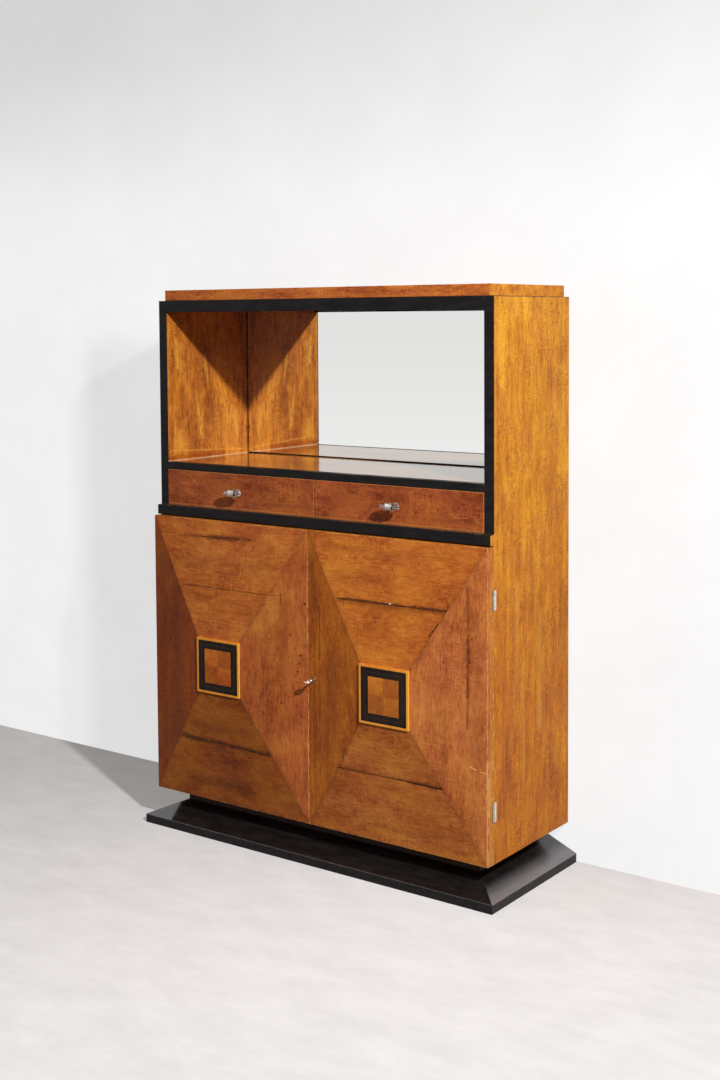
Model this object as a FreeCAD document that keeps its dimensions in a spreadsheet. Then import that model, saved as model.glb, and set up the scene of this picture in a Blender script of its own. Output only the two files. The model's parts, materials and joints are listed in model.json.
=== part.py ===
"""Bar cabinet: plinth, carcass with a mirrored niche, two drawers and two doors.

Millimetres.  X runs to the right, Y to the rear and Z up.  The origin is on the
floor, under the middle of the plinth.
"""
import FreeCAD
import Part
import Sketcher
import os
import re

from FreeCAD import Placement, Rotation, Vector

SIZES = {
    # Carcass
    "carcass_width": 1000.0,
    "carcass_depth": 344.0,
    "side_thickness": 24.4,
    "board_thickness": 18.0,
    "back_thickness": 10.0,
    "back_rebate_width": 12.0,
    # Plinth
    "plinth_height": 92.0,
    "slab_thickness": 20.4,
    "moulding_lip": 1.0,
    "moulding_height": 35.0,
    "plinth_slope_run": 80.0,
    "plinth_side_overhang": 24.4,
    "plinth_front_overhang": 48.7,
    "plinth_rear_inset": 3.0,
    "neck_board_thickness": 20.0,
    # Upper front frame and niche
    "niche_height": 384.0,
    "top_rail_height": 29.0,
    "shelf_rail_height": 18.3,
    "rail_depth": 22.0,
    "lipping_thickness": 3.0,
    "mirror_setback": 317.0,
    "mirror_thickness": 4.0,
    # Top
    "top_thickness": 26.8,
    "top_side_inset": 13.4,
    "top_front_inset": 8.5,
    "edge_ease": 1.0,
    # Waist band
    "band_height": 24.5,
    "band_projection": 14.5,
    # Doors
    "door_height": 711.4,
    "door_top_gap": 2.3,
    "door_rear_gap": 0.4,
    "door_meeting_gap": 0.9,
    "door_core_thickness": 15.6,
    "facet_rim_thickness": 9.7,
    "facet_rise": 40.1,
    # Plaque
    "plaque_width": 137.0,
    "plaque_thickness": 4.5,
    "stringing_width": 5.5,
    "band_inlay_width": 20.5,
    "square_joint": 0.2,
    # Hinges
    "hinge_length": 44.0,
    "hinge_lower_inset": 117.6,
    "hinge_upper_inset": 119.4,
    "hinge_axis_forward": 3.2,
    "hinge_barrel_radius": 2.8,
    "hinge_pin_radius": 1.4,
    "hinge_pin_clearance": 0.05,
    "hinge_notch_clearance": 0.4,
    "hinge_leaf_thickness": 1.5,
    "case_leaf_width": 10.8,
    "door_leaf_width": 3.4,
    "moving_knuckle_length": 16.0,
    "knuckle_gap": 0.2,
    # Shelf behind the doors
    "shelf_height": 352.0,
    "shelf_setback": 24.0,
    # Drawers
    "drawer_opening_height": 91.7,
    "drawer_front_gap": 0.6,
    "drawer_front_thickness": 20.0,
    "drawer_running_gap": 0.3,
    "drawer_box_height": 74.0,
    "drawer_box_depth": 290.0,
    "drawer_side_thickness": 10.0,
    "drawer_bottom_thickness": 5.0,
    "drawer_bottom_rise": 7.0,
    "divider_thickness": 12.0,
    # Drawer pulls
    "pull_length": 48.0,
    "pull_radius": 6.7,
    "pull_bore_radius": 2.2,
    "pull_stand_off": 25.0,
    "collar_width": 19.0,
    "collar_wall": 1.6,
    "collar_rib_radius": 1.5,
    "collar_fit": 0.03,
    "stem_radius": 3.8,
    "rose_radius": 7.5,
    "rose_thickness": 2.0,
    "spigot_radius": 3.0,
    "spigot_length": 14.0,
    # Lock and key
    "lock_rise": 0.3,
    "key_inset": 22.0,
    "key_reach": 66.3,
    "key_shank_radius": 2.1,
    "key_fit": 0.08,
    "key_collar_radius": 3.4,
    "key_collar_length": 2.5,
    "key_bow_radius": 7.6,
    "key_bow_wire_radius": 2.4,
    "key_bit_reach": 6.0,
    "key_bit_length": 3.3,
    "key_bit_thickness": 1.6,
    "lock_case_width": 34.0,
    "lock_case_height": 50.0,
    "lock_case_depth": 11.0,
    "lock_case_wall": 1.5,
    "lock_bolt_height": 10.0,
    "lock_bolt_thickness": 3.8,
    "lock_bolt_length": 24.0,
    "lock_bolt_rise": 9.0,
    "lock_bolt_recess": 0.6,
    "lock_bolt_throw": 9.0,
    "lock_clearance": 0.3,
    "escutcheon_width": 7.4,
    "escutcheon_height": 18.0,
    "escutcheon_thickness": 1.2,
    "strike_height": 36.0,
    "strike_width": 10.0,
    "strike_thickness": 1.5,
    # Sliding bolt inside the left door
    "bolt_inset": 30.0,
    "bolt_width": 10.0,
    "bolt_thickness": 5.0,
    "bolt_length": 90.0,
    "bolt_cover": 3.4,
    "bolt_travel": 10.0,
    "bolt_recess": 0.6,
    "bolt_clearance": 0.3,
    "bolt_knob_width": 4.0,
    "bolt_knob_height": 8.0,
    "bolt_knob_reach": 1.6,
    "overrun": 2.0,
}

PLACES = {
    # Across the cabinet
    "half_width": "carcass_width / 2",
    "inner_half": "half_width - side_thickness",
    "half_meeting": "door_meeting_gap / 2",
    "door_width": "half_width - half_meeting",
    "door_middle": "half_meeting + door_width / 2",
    # From front to rear
    "plinth_depth": "carcass_depth + plinth_front_overhang - plinth_rear_inset",
    "plinth_front": "-plinth_depth / 2",
    "front": "plinth_front + plinth_front_overhang",
    "rear": "front + carcass_depth",
    "inner_rear": "rear - back_thickness",
    "mirror_front": "front + mirror_setback",
    "mirror_rear": "mirror_front + mirror_thickness",
    "rail_rear": "front + rail_depth",
    "door_rear": "front - door_rear_gap",
    "core_front": "door_rear - door_core_thickness",
    "facet_front": "core_front - facet_rim_thickness - facet_rise",
    "hinge_axis": "front - hinge_axis_forward",
    "leaf_front": "hinge_axis - hinge_barrel_radius - knuckle_gap - door_leaf_width",
    # From the floor up
    "door_top": "plinth_height + door_height",
    "door_centre": "plinth_height + door_height / 2",
    "band_bottom": "door_top + door_top_gap",
    "deck_top": "band_bottom + band_height",
    "drawer_ceiling": "deck_top + drawer_opening_height",
    "niche_bottom": "drawer_ceiling + shelf_rail_height",
    "niche_top": "niche_bottom + niche_height",
    "carcass_top": "niche_top + top_rail_height",
    "neck_half": "half_width + plinth_side_overhang - plinth_slope_run",
    "neck_front": "plinth_front + plinth_slope_run",
    "neck_rear": "plinth_front + plinth_depth",
    # Drawers
    "half_divider": "divider_thickness / 2",
    "drawer_front_width": "inner_half - half_meeting - drawer_front_gap",
    "box_left": "half_divider + drawer_running_gap",
    "box_right": "inner_half - drawer_running_gap",
    "box_front": "front + drawer_front_thickness",
    "box_rear": "box_front + drawer_box_depth",
    "box_bottom": "deck_top + drawer_running_gap",
    "pull_centre": "half_meeting + drawer_front_width / 2",
    "pull_height": "deck_top + drawer_opening_height / 2",
    "collar_radius": "pull_radius + collar_wall",
    # Lock
    "key_x": "half_meeting + key_inset",
    "key_height": "door_centre + lock_rise",
    "case_front": "door_rear - lock_case_depth",
    "key_end": "case_front + lock_case_wall + lock_clearance + key_bit_length",
    "bolt_front": "key_end + lock_clearance",
    "facet_run": "(door_width - plaque_width) / 2",
    "facet_at_key": "facet_rim_thickness + facet_rise * key_inset / facet_run",
    "surface_at_key": "core_front - facet_at_key",
    "lock_bolt_z": "key_height + lock_bolt_rise",
    "strike_front": "bolt_front + lock_bolt_thickness / 2 - strike_width / 2",
    # Sliding bolt
    "bolt_y": "core_front + bolt_cover",
    "bolt_top": "door_top - bolt_recess",
    "bolt_bottom": "bolt_top - bolt_length",
    "knob_bottom": "bolt_bottom + bolt_length / 3",
}

SIDES = {"left": -1, "right": 1}

doc = FreeCAD.newDocument("BarCabinet")
sheet = doc.addObject("Spreadsheet::Sheet", "Sizes")
for row, (alias, value) in enumerate(SIZES.items(), start=1):
    sheet.set(f"A{row}", alias)
    sheet.set(f"B{row}", str(value))
    sheet.setAlias(f"B{row}", alias)
doc.recompute()

nodes = []


def formula(text):
    """The text with every place worked out and every size bound to its cell."""
    def swap(match):
        word = match.group()
        if word in PLACES:
            return "(" + formula(PLACES[word]) + ")"
        return "Sizes." + word if word in SIZES else word
    return re.sub(r"[a-z_]+", swap, str(text))


def bind(item, **sizes):
    """Binds properties of an object to formulas."""
    for name, text in sizes.items():
        item.setExpression(name, formula(text))
    return item


def place(item, x="0", y="0", z="0", rotation=None):
    """Puts an object at a point given by formulas."""
    if rotation is not None:
        item.Placement = Placement(Vector(), rotation)
    for axis, text in zip("xyz", (x, y, z)):
        item.setExpression(f"Placement.Base.{axis}", formula(text))
    return item


def node(item, label):
    """Marks an object as a finished piece of the cabinet."""
    item.Label = label
    nodes.append(item)
    return item


def box(label, x, y, z):
    """A block between two formulas along each axis."""
    item = doc.addObject("Part::Box", label)
    bind(item, Length=f"({x[1]}) - ({x[0]})", Width=f"({y[1]}) - ({y[0]})",
         Height=f"({z[1]}) - ({z[0]})")
    return place(item, x[0], y[0], z[0])


def rod(label, x, y, z, radius, length, rotation=None):
    """A cylinder along Z, or along where the rotation takes Z."""
    item = doc.addObject("Part::Cylinder", label)
    bind(item, Radius=radius, Height=length)
    return place(item, x, y, z, rotation)


def fuse(label, shapes):
    """Several solids as one."""
    item = doc.addObject("Part::MultiFuse", label)
    item.Shapes = shapes
    return item


def cut(label, base, tools):
    """A solid less its tools."""
    item = doc.addObject("Part::Cut", label)
    item.Base = base
    item.Tool = tools[0] if len(tools) == 1 else fuse(label + "_tools", tools)
    return item


def group(label, shapes):
    """Separate solids that make one piece of hardware."""
    item = doc.addObject("Part::Compound", label)
    item.Links = shapes
    return item


def across(side, near, far):
    """A span along X on one side of the middle, from its inner to its outer place."""
    if SIDES[side] > 0:
        return (near, far)
    return (f"-({far})", f"-({near})")


def at(side, x):
    """A place along X on one side of the middle."""
    return x if SIDES[side] > 0 else f"-({x})"


def eased_board(label, x, y, z, ease="edge_ease"):
    """A board between two formulas along each axis, with all its edges eased."""
    body = doc.addObject("PartDesign::Body", label)
    sketch = body.newObject("Sketcher::SketchObject", label + "_outline")
    planes = {plane.Role: plane for plane in body.Origin.OriginFeatures}
    sketch.AttachmentSupport = [(planes["XY_Plane"], "")]
    sketch.MapMode = "FlatFace"
    corners = [Vector(0, 0, 0), Vector(1, 0, 0), Vector(1, 1, 0), Vector(0, 1, 0)]
    for start, end in zip(corners, corners[1:] + corners[:1]):
        sketch.addGeometry(Part.LineSegment(start, end))
    for line in range(4):
        sketch.addConstraint(Sketcher.Constraint("Coincident", line, 2, (line + 1) % 4, 1))
        sketch.addConstraint(Sketcher.Constraint("Vertical" if line % 2 else "Horizontal", line))
    sketch.addConstraint(Sketcher.Constraint("Coincident", 0, 1, -1, 1))
    width = sketch.addConstraint(Sketcher.Constraint("DistanceX", 0, 1, 0, 2, 1.0))
    depth = sketch.addConstraint(Sketcher.Constraint("DistanceY", 1, 1, 1, 2, 1.0))
    for number, name, span in ((width, "width", x), (depth, "depth", y)):
        sketch.renameConstraint(number, name)
        sketch.setExpression(f"Constraints.{name}", formula(f"({span[1]}) - ({span[0]})"))
    pad = body.newObject("PartDesign::Pad", label + "_pad")
    pad.Profile = sketch
    bind(pad, Length=f"({z[1]}) - ({z[0]})")
    doc.recompute()
    edges = body.newObject("PartDesign::Chamfer", label + "_eased")
    edges.Base = (pad, [f"Edge{number + 1}" for number in range(len(pad.Shape.Edges))])
    bind(edges, Size=ease)
    body.Tip = edges
    return place(body, x[0], y[0], z[0])


def hinge_heights():
    """The middles of the lower and the upper hinge."""
    return {"lower": "plinth_height + hinge_lower_inset", "upper": "door_top - hinge_upper_inset"}


def hinge_span(middle, length="hinge_length", clearance="0"):
    """A span along Z about the middle of a hinge."""
    return (f"{middle} - {length} / 2 - {clearance}", f"{middle} + {length} / 2 + {clearance}")


def plinth():
    """A slab with three mitred mouldings round a neck that carries the carcass."""
    width = "carcass_width + 2 * plinth_side_overhang"
    node(box("plinth_slab", (f"-({width}) / 2", f"({width}) / 2"), ("plinth_front", "neck_rear"),
             ("0", "slab_thickness")), "plinth_slab")

    moulding = {
        "Xmin": "0", "X2min": "plinth_slope_run", "Ymin": "0", "Ymax": "plinth_slope_run",
        "Zmin": "0", "Z2min": "0", "Zmax": "moulding_lip", "Z2max": "moulding_height",
    }
    front = doc.addObject("Part::Wedge", "plinth_front")
    bind(front, **moulding, Xmax=width, X2max=f"{width} - plinth_slope_run")
    place(front, "-half_width - plinth_side_overhang", "plinth_front", "slab_thickness")
    node(front, "plinth_front")

    right = doc.addObject("Part::Wedge", "plinth_right")
    bind(right, **moulding, Xmax="plinth_depth", X2max="plinth_depth")
    place(right, "half_width + plinth_side_overhang", "plinth_front", "slab_thickness",
          Rotation(Vector(0, 0, 1), 90))
    node(right, "plinth_right")

    left = doc.addObject("Part::Mirroring", "plinth_left")
    left.Source = right
    left.Normal = Vector(1, 0, 0)
    node(left, "plinth_left")

    outside = box("neck_outside", ("-neck_half", "neck_half"), ("neck_front", "neck_rear"),
                  ("slab_thickness", "plinth_height"))
    inside = box("neck_inside",
                 ("-neck_half + neck_board_thickness", "neck_half - neck_board_thickness"),
                 ("neck_front + neck_board_thickness", "neck_rear - neck_board_thickness"),
                 ("slab_thickness - overrun", "plinth_height + overrun"))
    node(cut("plinth_neck", outside, [inside]), "plinth_neck")


def side_panel(side):
    """A side with a step for its lipping, a rebate for the back and let-in hinges."""
    label = f"side_panel_{side}"
    blank = box(label + "_blank", across(side, "inner_half", "half_width"), ("front", "rear"),
                ("plinth_height", "carcass_top"))
    step = box(label + "_step",
               across(side, "inner_half - overrun", "half_width + overrun"),
               ("front - overrun", "front + lipping_thickness"),
               ("deck_top", "carcass_top + overrun"))
    rebate = box(label + "_rebate",
                 across(side, "inner_half - overrun", "inner_half + back_rebate_width"),
                 ("inner_rear", "rear + overrun"),
                 ("plinth_height - overrun", "carcass_top + overrun"))
    recesses = []
    for name, middle in hinge_heights().items():
        recesses.append(box(f"{label}_{name}_recess",
                            across(side, "half_width - hinge_leaf_thickness",
                                   "half_width + overrun"),
                            ("front - overrun", "front + case_leaf_width"),
                            hinge_span(middle)))
    node(cut(label, blank, [step, rebate] + recesses), label)


def upper_frame():
    """Lippings, rails and the waist band: the black front of the cabinet."""
    for side in SIDES:
        node(box(f"stile_{side}", across(side, "inner_half", "half_width"),
                 ("front", "front + lipping_thickness"), ("deck_top", "carcass_top")),
             f"stile_{side}")
    node(box("top_rail", ("-inner_half", "inner_half"), ("front", "rail_rear"),
             ("niche_top", "carcass_top")), "top_rail")
    node(box("shelf_rail", ("-inner_half", "inner_half"), ("front", "rail_rear"),
             ("drawer_ceiling", "niche_bottom")), "shelf_rail")
    band = eased_board("band_board", ("-half_width", "half_width"),
                       ("front - band_projection", "front"), ("band_bottom", "deck_top"))
    socket = box("band_socket",
                 ("-bolt_inset - bolt_clearance", "-bolt_inset + bolt_width + bolt_clearance"),
                 ("bolt_y - bolt_clearance", "bolt_y + bolt_thickness + bolt_clearance"),
                 ("band_bottom - overrun", "bolt_top + bolt_travel + overrun"))
    node(cut("waist_band", band, [socket]), "waist_band")


def inner_boards():
    """Ceiling, floors, shelf, divider, mirror and back."""
    across_inside = ("-inner_half", "inner_half")
    behind_rail = ("rail_rear", "inner_rear")
    node(box("niche_ceiling", across_inside, behind_rail,
             ("carcass_top - board_thickness", "carcass_top")), "niche_ceiling")
    node(box("niche_floor", across_inside, behind_rail,
             ("niche_bottom - board_thickness", "niche_bottom")), "niche_floor")
    mirror_height = ("niche_bottom", "carcass_top - board_thickness")
    node(box("mirror", across_inside, ("mirror_front", "mirror_rear"), mirror_height), "mirror")
    node(box("mirror_backing", across_inside, ("mirror_rear", "inner_rear"), mirror_height),
         "mirror_backing")
    node(box("back_panel",
             ("-inner_half - back_rebate_width", "inner_half + back_rebate_width"),
             ("inner_rear", "rear"), ("plinth_height", "carcass_top")), "back_panel")
    node(box("drawer_deck", across_inside, ("front", "inner_rear"),
             ("deck_top - board_thickness", "deck_top")), "drawer_deck")
    node(box("drawer_divider", ("-half_divider", "half_divider"),
             ("box_front + drawer_running_gap", "inner_rear"),
             ("deck_top", "niche_bottom - board_thickness")), "drawer_divider")
    node(box("cabinet_floor", across_inside, ("front", "inner_rear"),
             ("plinth_height", "plinth_height + board_thickness")), "cabinet_floor")
    shelf_top = "plinth_height + shelf_height"
    node(box("lower_shelf", across_inside, ("front + shelf_setback", "inner_rear"),
             (f"{shelf_top} - board_thickness", shelf_top)), "lower_shelf")


def top_panel():
    """The top, set in at the front and the sides."""
    half = "half_width - top_side_inset"
    board = eased_board("top_panel", (f"-({half})", half), ("front + top_front_inset", "rear"),
                        ("carcass_top", "carcass_top + top_thickness"))
    node(board, "top_panel")


def door_core(side):
    """The flat back of a door with the block that carries its plaque."""
    label = f"{side}_door_core"
    slab = box(label + "_slab", across(side, "half_meeting", "half_width"),
               ("core_front", "door_rear"), ("plinth_height", "door_top"))
    block = box(label + "_block",
                across(side, "door_middle - plaque_width / 2", "door_middle + plaque_width / 2"),
                ("facet_front", "core_front"),
                ("door_centre - plaque_width / 2", "door_centre + plaque_width / 2"))
    tools = []
    for name, middle in hinge_heights().items():
        height = hinge_span(middle, clearance="knuckle_gap")
        notch = rod(f"{label}_{name}_notch", at(side, "half_width"), "hinge_axis", height[0],
                    "hinge_barrel_radius + hinge_notch_clearance",
                    "hinge_length + 2 * knuckle_gap")
        recess = box(f"{label}_{name}_recess",
                     across(side, "half_width - hinge_leaf_thickness", "half_width + overrun"),
                     ("leaf_front", "hinge_axis"), hinge_span(middle))
        tools += [notch, recess]
    if side == "left":
        tools += left_core_tools()
    else:
        tools += right_core_tools()
    node(cut(label, fuse(label + "_blank", [slab, block]), tools), label)


def left_core_tools():
    """The strike's pocket and the channel of the sliding bolt."""
    strike = box("strike_recess", ("-half_meeting - strike_thickness", "-half_meeting + overrun"),
                 ("strike_front", "strike_front + strike_width"),
                 ("lock_bolt_z - strike_height / 2", "lock_bolt_z + strike_height / 2"))
    pocket = box("strike_pocket",
                 ("-half_meeting - strike_thickness - lock_bolt_throw", "-half_meeting"),
                 bolt_depth("lock_clearance"), bolt_rise("lock_clearance"))
    channel = box("bolt_channel",
                  ("-bolt_inset - bolt_clearance", "-bolt_inset + bolt_width + bolt_clearance"),
                  ("bolt_y - bolt_clearance", "bolt_y + bolt_thickness + bolt_clearance"),
                  ("bolt_bottom - bolt_clearance", "door_top + overrun"))
    slot = box("bolt_slot", knob_width("bolt_clearance"), ("bolt_y", "door_rear + overrun"),
               ("knob_bottom - bolt_clearance",
                "knob_bottom + bolt_knob_height + bolt_travel + bolt_clearance"))
    return [strike, pocket, channel, slot]


def right_core_tools():
    """The pocket of the lock and the hole for the key."""
    pocket = box("lock_pocket", ("half_meeting - overrun", "half_meeting + lock_case_width"),
                 ("case_front", "door_rear + overrun"),
                 ("key_height - lock_case_height / 2", "key_height + lock_case_height / 2"))
    return [pocket, key_bore("core_key_bore")]


def key_bore(label):
    """A hole through the front of the door for the key's shank."""
    return rod(label, "key_x", "case_front + overrun", "key_height",
               "key_shank_radius + lock_clearance",
               "case_front + 2 * overrun - surface_at_key", Rotation(Vector(1, 0, 0), 90))


def bolt_depth(clearance="0"):
    """The lock bolt's span along Y."""
    return (f"bolt_front - {clearance}", f"bolt_front + lock_bolt_thickness + {clearance}")


def bolt_rise(clearance="0"):
    """The lock bolt's span along Z."""
    return (f"lock_bolt_z - lock_bolt_height / 2 - {clearance}",
            f"lock_bolt_z + lock_bolt_height / 2 + {clearance}")


def knob_width(clearance="0"):
    """The sliding bolt's knob along X."""
    middle = "-bolt_inset + bolt_width / 2"
    return (f"{middle} - bolt_knob_width / 2 - {clearance}",
            f"{middle} + bolt_knob_width / 2 + {clearance}")


def facet(side, name, turn, run_size, edge_size):
    """A wedge from the plaque out to one edge of the door, mitred at both ends."""
    label = f"{side}_door_facet_{name}"
    wedge = doc.addObject("Part::Wedge", label + "_blank")
    bind(wedge, Ymin="plaque_width / 2", Ymax=f"{run_size} / 2",
         Xmin="-plaque_width / 2", Xmax="plaque_width / 2",
         X2min=f"-{edge_size} / 2", X2max=f"{edge_size} / 2",
         Zmin="0", Zmax="facet_rim_thickness + facet_rise",
         Z2min="0", Z2max="facet_rim_thickness")
    place(wedge, at(side, "door_middle"), "core_front", "door_centre",
          Rotation(Vector(0, 1, 0), turn) * Rotation(Vector(1, 0, 0), 90))
    if side == "right" and name == "left":
        wedge = cut(label, wedge, [key_bore("facet_key_bore")])
    node(wedge, label)


def plaque(side):
    """Stringing, a dark band and four squares on the block of a door."""
    middle = at(side, "door_middle")
    depth = ("facet_front - plaque_thickness", "facet_front")

    def square(label, half, y=depth):
        return box(label, (f"{middle} - {half}", f"{middle} + {half}"), y,
                   (f"door_centre - {half}", f"door_centre + {half}"))

    outer = "(plaque_width / 2)"
    inside_stringing = "(plaque_width / 2 - stringing_width)"
    inside_band = "(plaque_width / 2 - stringing_width - band_inlay_width)"
    past = ("facet_front - plaque_thickness - overrun", "facet_front + overrun")
    for name, large, small in (("stringing", outer, inside_stringing),
                               ("band", inside_stringing, inside_band)):
        label = f"{side}_plaque_{name}"
        frame = cut(label, square(label + "_outside", large),
                    [square(label + "_inside", small, past)])
        node(frame, label)

    def quarter(label, right, top):
        near, far = "square_joint / 2", inside_band
        x = (near, far) if right else (f"-{far}", f"-{near}")
        z = (near, far) if top else (f"-{far}", f"-{near}")
        return box(label, (f"{middle} + {x[0]}", f"{middle} + {x[1]}"), depth,
                   (f"door_centre + {z[0]}", f"door_centre + {z[1]}"))

    for name, corners in (("light", ((False, True), (True, False))),
                          ("dark", ((True, True), (False, False)))):
        label = f"{side}_plaque_{name}_squares"
        pair = [quarter(f"{label}_{number}", *corner) for number, corner in enumerate(corners)]
        node(group(label, pair), label)


def hinges(side):
    """Two butt hinges whose leaves lie in the cabinet's side and the door's edge."""
    x = at(side, "half_width")
    leaf = across(side, "half_width - hinge_leaf_thickness", "half_width")
    case_hinges = []
    door_hinges = []
    for name, middle in hinge_heights().items():
        label = f"{side}_hinge_{name}"
        moving = hinge_span(middle, "moving_knuckle_length")
        low, high = hinge_span(middle)
        fixed_spans = ((low, f"{moving[0]} - knuckle_gap"), (f"{moving[1]} + knuckle_gap", high))
        pieces = [box(label + "_case_leaf", leaf, ("front", "front + case_leaf_width"),
                      (low, high)),
                  rod(label + "_pin", x, "hinge_axis", low, "hinge_pin_radius", "hinge_length")]
        for number, span in enumerate(fixed_spans):
            pieces.append(rod(f"{label}_knuckle_{number}", x, "hinge_axis", span[0],
                              "hinge_barrel_radius", f"({span[1]}) - ({span[0]})"))
            pieces.append(box(f"{label}_web_{number}", leaf,
                              ("hinge_axis + hinge_barrel_radius / 2", "front"), span))
        case_hinges.append(fuse(label + "_case", pieces))

        barrel = rod(label + "_moving_knuckle", x, "hinge_axis", moving[0],
                     "hinge_barrel_radius", "moving_knuckle_length")
        flap = box(label + "_door_leaf", leaf,
                   ("leaf_front", "leaf_front + door_leaf_width"), (low, high))
        web = box(label + "_door_web", leaf,
                  ("leaf_front", "hinge_axis - hinge_barrel_radius / 2"), moving)
        bore = rod(label + "_bore", x, "hinge_axis", f"{moving[0]} - overrun",
                   "hinge_pin_radius + hinge_pin_clearance",
                   "moving_knuckle_length + 2 * overrun")
        door_hinges.append(cut(label + "_door", fuse(label + "_flap", [barrel, flap, web]),
                               [bore]))
    node(group(f"{side}_hinge_case_leaves", case_hinges), f"{side}_hinge_case_leaves")
    node(group(f"{side}_hinge_door_leaves", door_hinges), f"{side}_hinge_door_leaves")


def lock():
    """Lock case, bolt and escutcheon in the right door, and the strike in the left."""
    case = box("case_outside", ("half_meeting", "half_meeting + lock_case_width"),
               ("case_front", "door_rear"),
               ("key_height - lock_case_height / 2", "key_height + lock_case_height / 2"))
    hollow = box("case_inside",
                 ("half_meeting + lock_case_wall",
                  "half_meeting + lock_case_width - lock_case_wall"),
                 ("case_front + lock_case_wall", "door_rear - lock_case_wall"),
                 ("key_height - lock_case_height / 2 + lock_case_wall",
                  "key_height + lock_case_height / 2 - lock_case_wall"))
    mouth = box("case_mouth", ("half_meeting - overrun", "half_meeting + 2 * lock_case_wall"),
                bolt_depth("lock_clearance"), bolt_rise("lock_clearance"))
    hole = rod("case_key_hole", "key_x", "case_front + 2 * lock_case_wall", "key_height",
               "key_shank_radius + key_fit", "3 * lock_case_wall",
               Rotation(Vector(1, 0, 0), 90))
    node(cut("lock_case", case, [hollow, mouth, hole]), "lock_case")

    bolt_tip = "half_meeting + lock_bolt_recess"
    node(box("lock_bolt", (bolt_tip, f"{bolt_tip} + lock_bolt_length"), bolt_depth(),
             bolt_rise()), "lock_bolt")

    plate = box("strike_plate",
                ("-half_meeting - strike_thickness", "-half_meeting"),
                ("strike_front", "strike_front + strike_width"),
                ("lock_bolt_z - strike_height / 2", "lock_bolt_z + strike_height / 2"))
    mouth = box("strike_mouth",
                ("-half_meeting - strike_thickness - overrun", "-half_meeting + overrun"),
                bolt_depth("lock_clearance"), bolt_rise("lock_clearance"))
    node(cut("lock_strike", plate, [mouth]), "lock_strike")

    upright = "(escutcheon_height / 2 - escutcheon_width / 2)"
    ends = [rod(f"escutcheon_end_{number}", "0", "0", f"{sign}{upright}",
                "escutcheon_width / 2", "escutcheon_thickness", Rotation(Vector(1, 0, 0), 90))
            for number, sign in enumerate(("-", ""))]
    middle = box("escutcheon_middle", ("-escutcheon_width / 2", "escutcheon_width / 2"),
                 ("-escutcheon_thickness", "0"), (f"-{upright}", upright))
    hole = rod("escutcheon_hole", "0", "overrun", "0", "key_shank_radius + lock_clearance",
               "escutcheon_thickness + 2 * overrun", Rotation(Vector(1, 0, 0), 90))
    plate = cut("escutcheon", fuse("escutcheon_blank", ends + [middle]), [hole])
    place(plate, "key_x", "surface_at_key", "key_height", Rotation(Vector(0, 0, -1), 1))
    bind(plate, **{"Placement.Rotation.Angle": "atan(facet_rise / facet_run)"})
    node(plate, "escutcheon")


def key():
    """A key with a shank along Y, a ring for a bow and a bit that points to the right."""
    turned = Rotation(Vector(1, 0, 0), 90)
    bow_middle = "front - key_reach + key_bow_radius + key_bow_wire_radius"
    shank_front = f"{bow_middle} + key_bow_radius"
    shank = rod("key_shank", "key_x", "key_end", "key_height", "key_shank_radius",
                f"key_end - ({shank_front})", turned)
    collar = rod("key_collar", "key_x", f"{shank_front} + 3 * key_bow_wire_radius",
                 "key_height", "key_collar_radius", "key_collar_length", turned)
    bit = box("key_bit", ("key_x", "key_x + key_shank_radius + key_bit_reach"),
              ("key_end - key_bit_length", "key_end"),
              ("key_height - key_bit_thickness / 2", "key_height + key_bit_thickness / 2"))
    bow = doc.addObject("Part::Torus", "key_bow")
    bind(bow, Radius1="key_bow_radius", Radius2="key_bow_wire_radius")
    place(bow, "key_x", bow_middle, "key_height")
    node(fuse("key", [shank, collar, bit, bow]), "key")


def sliding_bolt():
    """The bolt that holds the left door to the waist band."""
    bar = box("bolt_bar", ("-bolt_inset", "-bolt_inset + bolt_width"),
              ("bolt_y", "bolt_y + bolt_thickness"), ("bolt_bottom", "bolt_top"))
    knob = box("bolt_knob", knob_width(),
               ("bolt_y + bolt_thickness", "door_rear + bolt_knob_reach"),
               ("knob_bottom", "knob_bottom + bolt_knob_height"))
    node(fuse("left_door_bolt", [bar, knob]), "left_door_bolt")


def drawer(side):
    """Front, box and bottom of a drawer."""
    label = f"{side}_drawer"
    middle = at(side, "pull_centre")
    board = eased_board(f"{label}_front_board",
                        across(side, "half_meeting", "half_meeting + drawer_front_width"),
                        ("front", "box_front"),
                        ("deck_top + drawer_front_gap", "drawer_ceiling - drawer_front_gap"),
                        "edge_ease / 2")
    hole = rod(f"{label}_spigot_hole", middle, "front + spigot_length", "pull_height",
               "spigot_radius + collar_fit", "spigot_length + overrun",
               Rotation(Vector(1, 0, 0), 90))
    node(cut(f"{label}_front", board, [hole]), f"{label}_front")

    height = ("box_bottom", "box_bottom + drawer_box_height")
    outside = box(f"{label}_box_outside", across(side, "box_left", "box_right"),
                  ("box_front", "box_rear"), height)
    inside = box(f"{label}_box_inside",
                 across(side, "box_left + drawer_side_thickness",
                        "box_right - drawer_side_thickness"),
                 ("box_front - overrun", "box_rear - drawer_side_thickness"),
                 ("box_bottom - overrun", "box_bottom + drawer_box_height + overrun"))
    node(cut(f"{label}_box", outside, [inside]), f"{label}_box")

    rise = "box_bottom + drawer_bottom_rise"
    node(box(f"{label}_bottom",
             across(side, "box_left + drawer_side_thickness",
                    "box_right - drawer_side_thickness"),
             ("box_front", "box_rear - drawer_side_thickness"),
             (rise, f"{rise} + drawer_bottom_thickness")), f"{label}_bottom")


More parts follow.
